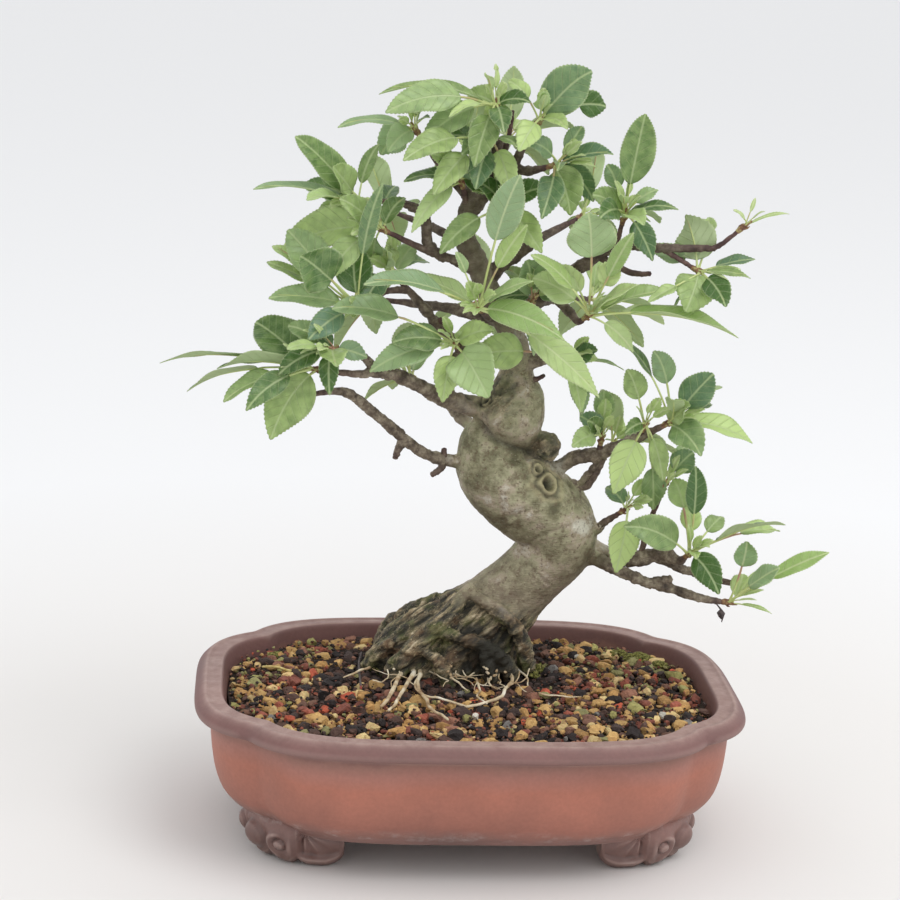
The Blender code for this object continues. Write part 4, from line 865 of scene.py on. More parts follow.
with edited(thick.data) as bm:
    for _ in range(2):
        bmesh.ops.smooth_vert(
            bm, verts=bm.verts, factor=0.5, use_axis_x=True, use_axis_y=True, use_axis_z=True)
print("faces after the remesh:", len(thick.data.polygons))

# %% Scars, folds and the limb under a point
# a scar: its middle, the radius of the callus ring, the depth of the hollow and the rise of the callus
KNOTS = [
    ((31.3, 10, 144.9), 3.8, 3.0, 1.3), ((26.3, 9, 151.1), 2.1, 1.5, 0.8), ((3.5, 9, 180), 1.9, 0.8, 0.5)]
# a fold: its course, its width, its depth
CREASES = [
    ([(2, 9, 170), (7, 8, 164.5), (14, 8, 161), (24, 9, 158)], 2.6, 1.7),
    ([(1, 9, 171), (7, 8, 164.5), (14, 8, 161), (23, 9, 158.5)], 0.7, 0.5),
    ([(-6, 12, 167), (2, 9, 161), (10, 8, 157), (20, 9, 154)], 1.2, 0.3),
    ([(9, 9, 128), (18, 9, 131.5), (28, 10, 136), (36, 12, 139)], 1.4, 0.4),
    ([(19, 10, 112), (25, 11, 119), (34, 11, 124), (44, 13, 127)], 0.9, 0.35),
    ([(23, 15, 112), (28, 14, 106), (34, 14, 100)], 0.5, 0.5),
    ([(0, 13, 186), (8, 9, 183), (16, 9, 187)], 1.6, 1.0),
    ([(2, 12, 178), (9, 9, 175), (17, 9, 176), (25, 12, 181)], 0.9, 0.3),
    ([(20, 10, 151), (24, 10, 146), (27, 10, 140.5), (32, 11, 138.5)], 0.7, 0.5),
    ([(22, 10, 156), (28, 10, 156), (34, 11, 152), (38, 13, 146)], 0.7, 0.6),
]
STUMP = ((31, 20, 157), 8.0)      # a dark, cracked stump of a limb that was cut off
COLLAR = ((6, 13, 186), 13.0)     # rugged wood where the lowest limbs leave
# hollows of the show side that get painted shade, nearly black: their middle, their size, how dark
SHADED_HOLLOWS = [((9, 6, 68), 14, 0.75), ((11, -3, 73), 11, 0.9)]
skeleton = []
for line in [TRUNK] + list(LIMBS.values()) + STUBS:
    travelled_mm = 0.0
    curve = smooth_line(line, 5)
    for a, b in zip(curve, curve[1:] + curve[-1:]):
        skeleton.append((*a, travelled_mm))
        travelled_mm += math.dist(a[:3], b[:3])
bones = search_tree(skeleton)


def bone_at(point):
    """Thickness of the limb under a point of its surface, and the way along that limb."""
    near = min(bones.find_n(point, 6), key=lambda found: found[2] - skeleton[found[1]][3])
    return skeleton[near[1]][3], skeleton[near[1]][4]


def nearest_on(line, point):
    """Distance from a point to a chain of straight pieces."""
    best = math.inf
    for a, b in zip(line, line[1:]):
        a, b = Vector(a), Vector(b)
        share = clamp((point - a).dot(b - a) / (b - a).length_squared)
        best = min(best, (point - (a + (b - a) * share)).length)
    return best


# scars and folds are known from the show side, so a line of sight sets each one on the bark
bark_shell = BVHTree.FromPolygons(
    [v.co for v in thick.data.vertices], [tuple(f.vertices) for f in thick.data.polygons])
eye = camera.matrix_world.translation


def on_bark(point):
    """The place on the bark, in mm, that is seen at a point."""
    target = place(point)
    hit = bark_shell.ray_cast(eye, (target - eye).normalized())[0]
    if hit is None or (hit - target).length > 12 * MM:
        hit = bark_shell.find_nearest(target)[0]
    return (hit - ORIGIN) / MM


KNOTS = [(on_bark(centre), *sizes) for centre, *sizes in KNOTS]
CREASES = [([on_bark(p) for p in smooth_line(line, 6)], *sizes) for line, *sizes in CREASES]
trunk_line = smooth_line(TRUNK, 5)
trunk_axis = search_tree(trunk_line)


def clear_of_trunk(point):
    """0 on the trunk's own bark and 1 on limbs that have left it."""
    _, index, away = trunk_axis.find(point)
    return clamp((away / trunk_line[index][3] - 1.12) / 0.4)


# %% Relief of the bark and roots
# the relief of old roots is drawn out along their run, from the trunk down to the left
ROOT_RUN = Vector((0.80, 0.25, 0.55)).normalized()
ROOT_STRETCH = 0.74
RUGGED_TO = 88             # the old, rugged wood ends at about this height, up a slope
RUGGED_FADE = 7            # and fades out over this much
LIMBS_FROM = 96            # lower down, thin wood is a root
LEADER_FROM = 192          # higher up, the trunk is as thin as a limb and looks like one
COLLAR_TO = 202


def kinds_of_wood(p, radius):
    """How rugged the wood is at a point, and how much of it is a limb's."""
    limb = 1 - clamp((radius - 3.2) / 4.0) if p.z > LIMBS_FROM else 0.0
    if p.z < LEADER_FROM:
        limb *= clear_of_trunk(p)
    sloping = p.z + 0.30 * (p.x - 5) + 3.5 * noise.noise(p * 0.11)
    rugged = 1 - clamp((sloping - RUGGED_TO) / RUGGED_FADE)
    collar = bump((p - Vector(COLLAR[0])).length, COLLAR[1]) * 0.75
    stump = bump((p - Vector(STUMP[0])).length, STUMP[1])
    return max(rugged, collar if p.z < COLLAR_TO else 0.0, stump), limb


def relief_at(p, way, radius, rugged, limb):
    """How far the surface is pushed out there, in mm, how much painted shade its hollows get, and how much
    callus it is.
    """
    run = p - ROOT_RUN * (p.dot(ROOT_RUN) * ROOT_STRETCH) if p.z < 110 else p
    ridged = noise.ridged_multi_fractal(run * 0.17, 0.9, 2.1, 4, 1.0, 2.0)
    rough_push = (ridged - 1.25) * 1.2 + 0.75 * noise.fractal(run * 0.50, 0.8, 2.0, 3)
    fine_push = 0.45 * noise.fractal(p * 0.10, 0.9, 2.0, 4) + 0.16 * noise.fractal(p * 0.6, 0.8, 2.0, 3)
    # limbs are knobbly: a swelling at each old bud scar
    spacing = 5.0 + 2.0 * noise.noise(Vector((radius, way * 0.05, 3)))
    knobs = 0.45 * bump(way % spacing - spacing / 2, 0.8) + 0.45 * noise.fractal(p * 0.33, 0.8, 2.0, 3)
    push = rugged * rough_push + (1 - rugged) * (fine_push + limb * knobs)
    # the hollow mark is painted shade, in the recesses of the rugged wood, the listed hollows, the scars and
    # the folds
    hollow = max(0.0, -rough_push * 0.8) * rugged
    for middle, width, dark in SHADED_HOLLOWS:
        hollow += dark * rugged * bump((p - Vector(middle)).length, width)
    callus = 0.0
    for centre, ring, depth, rise in KNOTS:
        away = (p - centre).length * (1 + 0.26 * noise.noise(p * 0.30)) + 0.15 * noise.noise(p * 1.1)
        if away < ring * 2.8:
            push += rise * bump(away - ring, ring * 0.24) + 0.7 * rise * bump(away, ring * 1.7)
            push -= (depth + 0.7 * rise) * bump(away, ring * 0.58) + 0.35 * bump(away - ring * 1.45, 0.6)
            hollow += 0.9 * bump(away, ring * 0.55) + 0.45 * bump(away - ring * 1.5, 0.75)
            callus = max(callus, bump(away - ring, ring * 0.26), 0.5 * bump(away - ring * 1.9, ring * 0.3))
    for line, width, depth in CREASES:
        if abs(p.z - line[len(line) // 2].z) < 22:
            away = nearest_on(line, p)
            push += depth * (0.4 * bump(away - 2.2 * width, 1.3 * width) - bump(away, width))
            hollow += min(0.5, depth * 0.35) * bump(away, width * 0.55)
    return push, min(1.0, hollow), callus


count = len(thick.data.vertices)
coords = np.empty(count * 3)
thick.data.vertices.foreach_get("co", coords)
coords = (coords.reshape(-1, 3) - np.array(ORIGIN)) / MM
normals = np.array([tuple(v.normal) for v in thick.data.vertices])
marks = []
for i in range(count):
    p = Vector(coords[i])
    radius, way = bone_at(p)
    rugged, limb = kinds_of_wood(p, radius)
    push, hollow, callus = relief_at(p, way, radius, rugged, limb)
    coords[i] += normals[i] * push
    marks.append((rugged, hollow, limb, callus, 0.0))
thick.data.vertices.foreach_set("co", (coords * MM + np.array(ORIGIN)).ravel())
thick.data.update()
thick.data.shade_smooth()
WOOD_MARKS = ("old_wood", "hollow", "limb", "callus", "youth")
for name, values in zip(WOOD_MARKS, zip(*marks)):
    mark(thick, name, values)
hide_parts("tree_wood")
print("triangles of the thick wood:", 2 * len(thick.data.polygons))

# %% Twigs
# thin wood goes on as round tubes with a swelling at each bud scar
TWIG_SIDES = 10
rng = random.Random(SEED + 2)
twig_shapes, twig_youth = [], []
for line in list(LIMBS.values()) + STUBS:
    thin = [p for p in smooth_line(line, 10) if p[3] < THIN_WOOD * 1.12]
    if len(thin) < 4:
        continue
    scar = rng.uniform(2.5, 4.0)
    travelled_mm = 0.0
    knobbly = []
    for a, b in zip(thin, thin[1:] + thin[-1:]):
        ring_scar = bump((travelled_mm % scar) - scar / 2, 0.35)
        wobble = 1 + 0.16 * ring_scar + rng.uniform(-0.05, 0.05)
        knobbly.append((*(c + rng.uniform(-0.12, 0.12) for c in a[:3]), a[3] * wobble))
        travelled_mm += math.dist(a[:3], b[:3])
    shape = tube(knobbly, TWIG_SIDES, 0.04, rng)
    twig_shapes.append(shape)
    for i in range(len(shape[0])):
        radius = thin[min(i // TWIG_SIDES, len(thin) - 1)][3]
        twig_youth.append(clamp((THIN_WOOD - radius) / 0.8))
twigs = make_piece("twigs", *join(twig_shapes))
turn_out(twigs)
for name, value in (("old_wood", 0.0), ("hollow", 0.0), ("limb", 1.0), ("callus", 0.0)):
    mark(twigs, name, [value] * len(twigs.data.vertices))
mark(twigs, "youth", twig_youth)
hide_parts("tree_wood")
print("triangles of the twigs:", 2 * len(twigs.data.polygons))

# %% [markdown]
# ## Bark
# Crabapple bark is smooth and grey-olive while it is young, with pale lenticels, small breathing pores drawn
# out sideways. On the old roots it breaks up and goes dark with moss, limbs are a darker grey, and the newest
# twigs are purple-brown. The marks on the mesh choose among them. Painted shade darkens the clefts and
# hollows of the old wood, the undersides, and the limbs inside the crown.

# %% Material: crabapple bark
bark, tree, shader, spot = new_material("crabapple_bark", 0.72)
old, hollow_shade, limb, healed, youth = (
    add(tree, "Attribute", "Fac", attribute_name=key) for key in WOOD_MARKS)
cloud = add(
    tree, "TexNoise", "Fac", {"Vector": spot, "Scale": per_metre(15), "Detail": 8.0, "Roughness": 0.66})
smooth_bark = add(
    tree, "ValToRGB", 0, {0: cloud}, stops=[(0.36, "#646148"), (0.44, "#8B886A"), (0.51, "#AAA788"),
    (0.57, "#B5A892"), (0.66, "#DBD8C8")])
stain = add(
    tree, "TexNoise", "Fac", {"Vector": spot, "Scale": per_metre(5), "Detail": 6.0, "Roughness": 0.72})
stains = add(tree, "ValToRGB", 0, {0: stain}, stops=[(0.51, 0.0), (0.63, 0.72)])
# the foot of the trunk is browner, and brown specks lie all over
rise = add(tree, "SeparateXYZ", "Z", {0: spot})
low = add(tree, "MapRange", 0, {0: rise, 1: 0.092, 2: 0.118, 3: 0.5, 4: 0.0})
dots = add(tree, "TexNoise", "Fac", {"Vector": spot, "Scale": per_metre(1.5), "Detail": 3.0})
specks = add(tree, "ValToRGB", 0, {0: dots}, stops=[(0.60, 0.0), (0.68, 0.6)])
sideways = add(tree, "Mapping", 0, {"Vector": spot, "Scale": (1.0, 1.0, 3.4)})
pores = add(tree, "TexNoise", "Fac", {"Vector": sideways, "Scale": per_metre(1.9), "Detail": 2.0})
lenticels = add(tree, "ValToRGB", 0, {0: pores}, stops=[(0.62, 0.0), (0.72, 0.35)])
# painted shade on the undersides: brown where the surface faces down
faces_up = add(tree, "SeparateXYZ", "Z", {0: add(tree, "NewGeometry", "Normal")})
darkening = add(tree, "MapRange", 0, {0: faces_up, 1: -0.75, 2: 0.05, 3: 0.55, 4: 0.0})
for share, over in (
        (stains, "#6B5D48"), (low, "#8D7C6D"), (specks, "#5E4A39"), (lenticels, "#C9BFA8"),
        (darkening, "#5A4C3B")):
    smooth_bark = add(tree, "Mix", 2, {0: share, 6: smooth_bark, 7: over}, data_type="RGBA")
limb_bark = add(
    tree, "ValToRGB", 0, {0: stain}, stops=[(0.32, "#40372F"), (0.45, "#665A4D"), (0.55, "#8A7E6C"),
    (0.68, "#B0A692")])
# up in the crown the limbs are younger and purple-brown, and darker with painted shade under the leaves
crown_youth_and_shade = add(tree, "MapRange", 0, {0: rise, 1: 0.190, 2: 0.245, 3: 0.0, 4: 0.55})
crown_bark_and_shade = add(tree, "Mix", 2, {0: crown_youth_and_shade, 6: limb_bark, 7: "#43332F"}, data_type="RGBA")
# the crust of the old roots is drawn out along their run, as their relief is
along_run = add(tree, "VectorMath", "Value", {0: spot, 1: ROOT_RUN}, operation="DOT_PRODUCT")
drawn = add(tree, "Math", 0, {0: along_run, 1: -ROOT_STRETCH}, operation="MULTIPLY")
back_by = add(tree, "VectorMath", 0, {0: ROOT_RUN, "Scale": drawn}, operation="SCALE")
run_spot = add(tree, "VectorMath", 0, {0: spot, 1: back_by}, operation="ADD")
crust = add(
    tree, "TexNoise", "Fac", {"Vector": run_spot, "Scale": per_metre(4.0), "Detail": 8.0, "Roughness": 0.75})
old_bark = add(
    tree, "ValToRGB", 0, {0: crust}, stops=[(0.39, "#201F1A"), (0.47, "#4C493E"), (0.53, "#7E745B"),
    (0.58, "#AB997A"), (0.65, "#EADCBD")])
moss_cloud = add(tree, "TexNoise", "Fac", {"Vector": spot, "Scale": per_metre(9), "Detail": 6.0})
bends_out = add(tree, "NewGeometry", "Pointiness")
crumb_noise = add(tree, "TexNoise", "Fac", {"Vector": spot, "Scale": per_metre(1.3), "Detail": 2.0})
# the near-black of the clefts is painted shade
for pattern, stops, over in (
        (moss_cloud, [(0.36, 0.6), (0.47, 0.0)], "#7A5A3E"),     # rust brown where the crust came off
        (moss_cloud, [(0.52, 0.0), (0.64, 0.7)], "#5C6331"),     # moss
        (bends_out, [(0.52, 0.0), (0.60, 0.75)], "#A69878"),     # ridges are rubbed to ochre wood
        (bends_out, [(0.41, 0.85), (0.485, 0.0)], "#1C1A16"),    # clefts between them, nearly black
        (crumb_noise, [(0.63, 0.0), (0.70, 0.6)], "#C4B38F")):   # crumbs of pale bark and soil
    share = add(tree, "ValToRGB", 0, {0: pattern}, stops)
    old_bark = add(tree, "Mix", 2, {0: share, 6: old_bark, 7: over}, data_type="RGBA")
young_bark = add(
    tree, "ValToRGB", 0, {0: stain}, stops=[(0.3, "#3A2A2C"), (0.5, "#563D3C"), (0.7, "#7A5F56")])
callus = add(tree, "Math", 0, {0: healed, 1: 0.75}, operation="MULTIPLY")
tone = smooth_bark
# the hollow mark is painted shade, nearly black
for share, over in (
        (limb, crown_bark_and_shade), (old, old_bark), (youth, young_bark), (callus, "#CFC49A"), (hollow_shade, "#2C2A22")):
    tone = add(tree, "Mix", 2, {0: share, 6: tone, 7: over}, data_type="RGBA")
fill(shader.inputs["Base Color"], tone)
dry = add(tree, "MapRange", 0, {0: crust, 1: 0.35, 2: 0.65, 3: 0.55, 4: 0.85})
fill(shader.inputs["Roughness"], dry)
skin_noise = add(tree, "Math", 0, {0: pores, 1: crust}, operation="ADD")
skin_bump = add(tree, "Bump", 0, {"Height": skin_noise, "Strength": 0.7, "Distance": 0.0007})
fill(shader.inputs["Normal"], skin_bump)
coat(thick, bark)
coat(twigs, bark)
print("bark nodes:", len(tree.nodes))

# %% [markdown]
# ## Loose roots on the soil
# Dead feeder roots, bare and straw-coloured, come out from under the root mass and lie over the
# grit on the show side. They are thin tubes that bend at random, as dry roots do, and short cut ends
# of the same stick out of the mass.

# %% Dry roots
FINE_ROOTS = [
    [(-3, -32, 60.9, 0.62), (-11.5, -26, 61.2, 0.6), (-19.5, -21, 61.4, 0.55), (-22, -12, 61.8, 0.5),
     (-21, -3, 62.2, 0.45)],
    [(4, 0, 61.5, 0.7), (5, -12, 61, 0.6), (3, -22, 61.2, 0.5), (5, -30, 60.6, 0.35)],
    [(-7, 0, 62, 0.6), (-3, -8, 61.6, 0.5), (0, -14, 60.8, 0.3)],
    [(-40, 12, 62, 0.7), (-46, 6, 61.4, 0.6), (-52, 2, 60.8, 0.35)],
    [(22, 14, 61.5, 0.6), (26, 4, 61.2, 0.5), (25, -6, 60.6, 0.3)],
    [(12, 6, 62, 0.6), (9, -4, 61.5, 0.5), (12, -12, 60.8, 0.3)],
    [(28, -16, 61, 0.45), (38, -19, 60.9, 0.4), (46, -18, 60.4, 0.3)],
]
# snapped pale root ends low on the mass
CUT_ENDS = [(-31, 0, 66), (-29, -3, 64), (-8, -6, 70), (-3, -6, 69), (-1, -6, 67), (2, -6, 65.5), (5, -5, 64),
            (9, -4, 63.5), (12, -3, 67), (14, -2, 64), (16, -2, 66), (13, -3, 61.5)]
ROOTLETS = 15
ROOT_SIDES = 9
rng = random.Random(SEED + 3)
lines = SURFACE_ROOTS + FINE_ROOTS
for k in range(ROOTLETS):
    x, y = -36 + 64 * (k + rng.uniform(0.1, 0.9)) / ROOTLETS, rng.uniform(3, 8)
    heading = math.radians(rng.uniform(-160, -20))
    line = [(x, y + 2, 62.5, 0.4)]
    for step in range(rng.randint(3, 6)):
        heading += rng.uniform(-0.7, 0.7)
        x, y = x + 4.0 * math.cos(heading), y + 4.0 * math.sin(heading)
        line.append((x, y, 61.3 + rng.uniform(-0.4, 0.9), 0.36 - 0.04 * step))
    lines = lines + [line]
root_shapes = []
for k, line in enumerate(lines):
    slim = 0.78 if k < len(SURFACE_ROOTS) else 0.9
    bent = [(x + 1.4 * noise.noise(Vector((x, y, k)) * 0.10) + rng.uniform(-0.06, 0.06),
             y + 1.4 * noise.noise(Vector((y, x, k + 5)) * 0.10) + rng.uniform(-0.06, 0.06),
             z + 0.7 + 0.7 * noise.noise(Vector((x, y, k + 9)) * 0.2), r * slim * rng.uniform(0.82, 1.0))
            for x, y, z, r in smooth_line(line, 8)]
    root_shapes.append(tube(bent, ROOT_SIDES, 0.06, rng))
for cut_end in CUT_ENDS:
    face = on_bark(cut_end)
    outward = Vector((rng.uniform(-0.5, 0.5), -1.0, rng.uniform(-0.2, 0.5))).normalized()
    line = [(*(face + outward * way), 0.55) for way in (-1.5, -0.3, 0.9, 1.9)]
    root_shapes.append(tube(line, ROOT_SIDES, 0.10, rng))
dry_roots = make_piece("dry_roots", *join(root_shapes))
turn_out(dry_roots)
root_skin = clouded("dry_root", 0.6, 9, 5.0, [
    (0.32, "#8C6F52"), (0.45, "#B79E7B"), (0.55, "#D9C9AA"), (0.68, "#F0E8D6")])
coat(dry_roots, root_skin)
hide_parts("tree_wood")
print("dry roots:", len(root_shapes))

# %% [markdown]
# ## Small finds
# A dried flower end hangs from the lowest limb, a straw-yellow twig and a dark one with a red tip lie
# on the grit, and cushions of moss grow at the back right and by the roots. Each is small, but the eye
# looks for such things in a tray of soil. Twigs are tubes, and moss is a heap of small round tufts.

# %% Dried flower end and fallen twigs
FLOWER_STALK = [(103.5, 6.5, 96.4, 0.4), (105.5, 6.2, 94.6, 0.3), (107.2, 6.0, 92.6, 0.4)]
FLOWER_BASE = Vector((107.3, 6.0, 92.4))
SEPALS = 5
rng = random.Random(SEED + 4)
flower_parts = [tube(FLOWER_STALK, 7)]
for k in range(SEPALS):
    angle = k * 2 * math.pi / SEPALS
    out = Vector((math.cos(angle), math.sin(angle), 0))
    bend = FLOWER_BASE + out * 1.1 + Vector((0, 0, -1.6))
    end = FLOWER_BASE + out * rng.uniform(0.2, 1.0)
    end += Vector((rng.uniform(-0.4, 0.4), 0, -rng.uniform(3.4, 5.6)))
    flower_parts.append(tube([(*FLOWER_BASE, 0.5), (*bend, 0.75), (*end, 0.2)], 7, 0.12, rng))
flower_end = make_piece("dried_flower_end", *join(flower_parts))


def lying_twig(course, radius):
    """A thin tube over the stones along (x, y) points."""
    line = [(x, y, soil_z(x, y) + 3.6 + rng.uniform(-0.2, 0.4), radius) for x, y in course]
    return tube(smooth_line(line, 5), 8, 0.08, rng)


straw_twig = make_piece("straw_twig", *lying_twig([(-86, 21), (-80, 18.5), (-75, 14.5), (-70, 12.5)], 0.55))
dark_twig = make_piece(
    "dark_twig", *lying_twig([(-43, 37), (-44.5, 25), (-45, 13.5), (-45, 2), (-45, -10)], 0.5))
withered, tree, shader, spot = new_material("withered_wood", 0.75)
fibre = add(tree, "TexNoise", "Fac", {"Vector": spot, "Scale": per_metre(1.5), "Detail": 4.0})
shade = add(tree, "ValToRGB", 0, {0: fibre}, stops=[(0.35, "#332D2D"), (0.65, "#635856")])
# the twig's last millimetres, towards the show side, are red
reach_y = add(tree, "SeparateXYZ", "Y", {0: spot})
red_end = add(tree, "MapRange", 0, {
    0: reach_y, 1: ORIGIN.y - 7.0 * MM, 2: ORIGIN.y - 8.5 * MM, 3: 0.0, 4: 0.8})
tipped = add(tree, "Mix", 2, {0: red_end, 6: shade, 7: "#A04436"}, data_type="RGBA")
fill(shader.inputs["Base Color"], tipped)
straw = clouded("straw", 0.6, 2.0, 4.0, [(0.35, "#B39A52"), (0.65, "#DCC988")])
for find, finish in ((flower_end, withered), (straw_twig, straw), (dark_twig, withered)):
    turn_out(find)
    coat(find, finish)
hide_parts("tree_wood")

# %% Moss
# a cushion: its middle, its radius and its height in mm
CUSHIONS = [((80, 45), 6.5, 2.4), ((72, 50), 4.0, 1.8), ((88, 36), 3.5, 1.6), ((-38, 22), 3.0, 2.0),
            ((33, 24), 3.5, 2.2), ((-80, 40), 4.0, 1.6), ((30, 14), 2.2, 1.6)]
TUFT = 0.95
moss_parts = []
for (x, y), radius, height in CUSHIONS:
    for _ in range(round(radius * radius * 3.2)):
        angle, share = rng.uniform(0, 2 * math.pi), rng.random() ** 0.5
        at_x, at_y = x + radius * share * math.cos(angle), y + radius * share * math.sin(angle)
        top = soil_z(at_x, at_y) + 1.4 + height * (1 - share * share) + rng.uniform(-0.3, 0.3)
        shape = BALL[0] * TUFT * rng.uniform(0.6, 1.2) * np.array([1, 1, 0.8])
        shape = shape * (1 + np.array([rng.uniform(-0.16, 0.16) for _ in shape])[:, None])
        moss_parts.append(((shape + np.array([at_x, at_y, top])).tolist(), BALL[1]))
moss = make_piece("moss", *join(moss_parts))
living = clouded("living_moss", 0.95, 0.9, 4.0, [
    (0.34, "#454522"), (0.5, "#6E6D37"), (0.68, "#9B9657")], ior=1.4, relief=(0.8, 0.6))
coat(moss, living)
print("moss tufts:", len(moss_parts))

# %% [markdown]
# ## Leaves
# A crabapple leaf is an oval with a drawn-out tip and a saw-cut edge, folded along its midrib, with
# six or so pairs of veins and a stalk as long as half the blade. Each leaf stands where the solid
# has one, so the rows below are the same: from the shoot's tip to the leaf's own tip, the blade's
# length and width, and how far it faces the show side. A copied card with a picture would be quick,
# but the edge and the folds have to be geometry, so each blade is drawn as a two-sided curved sheet.

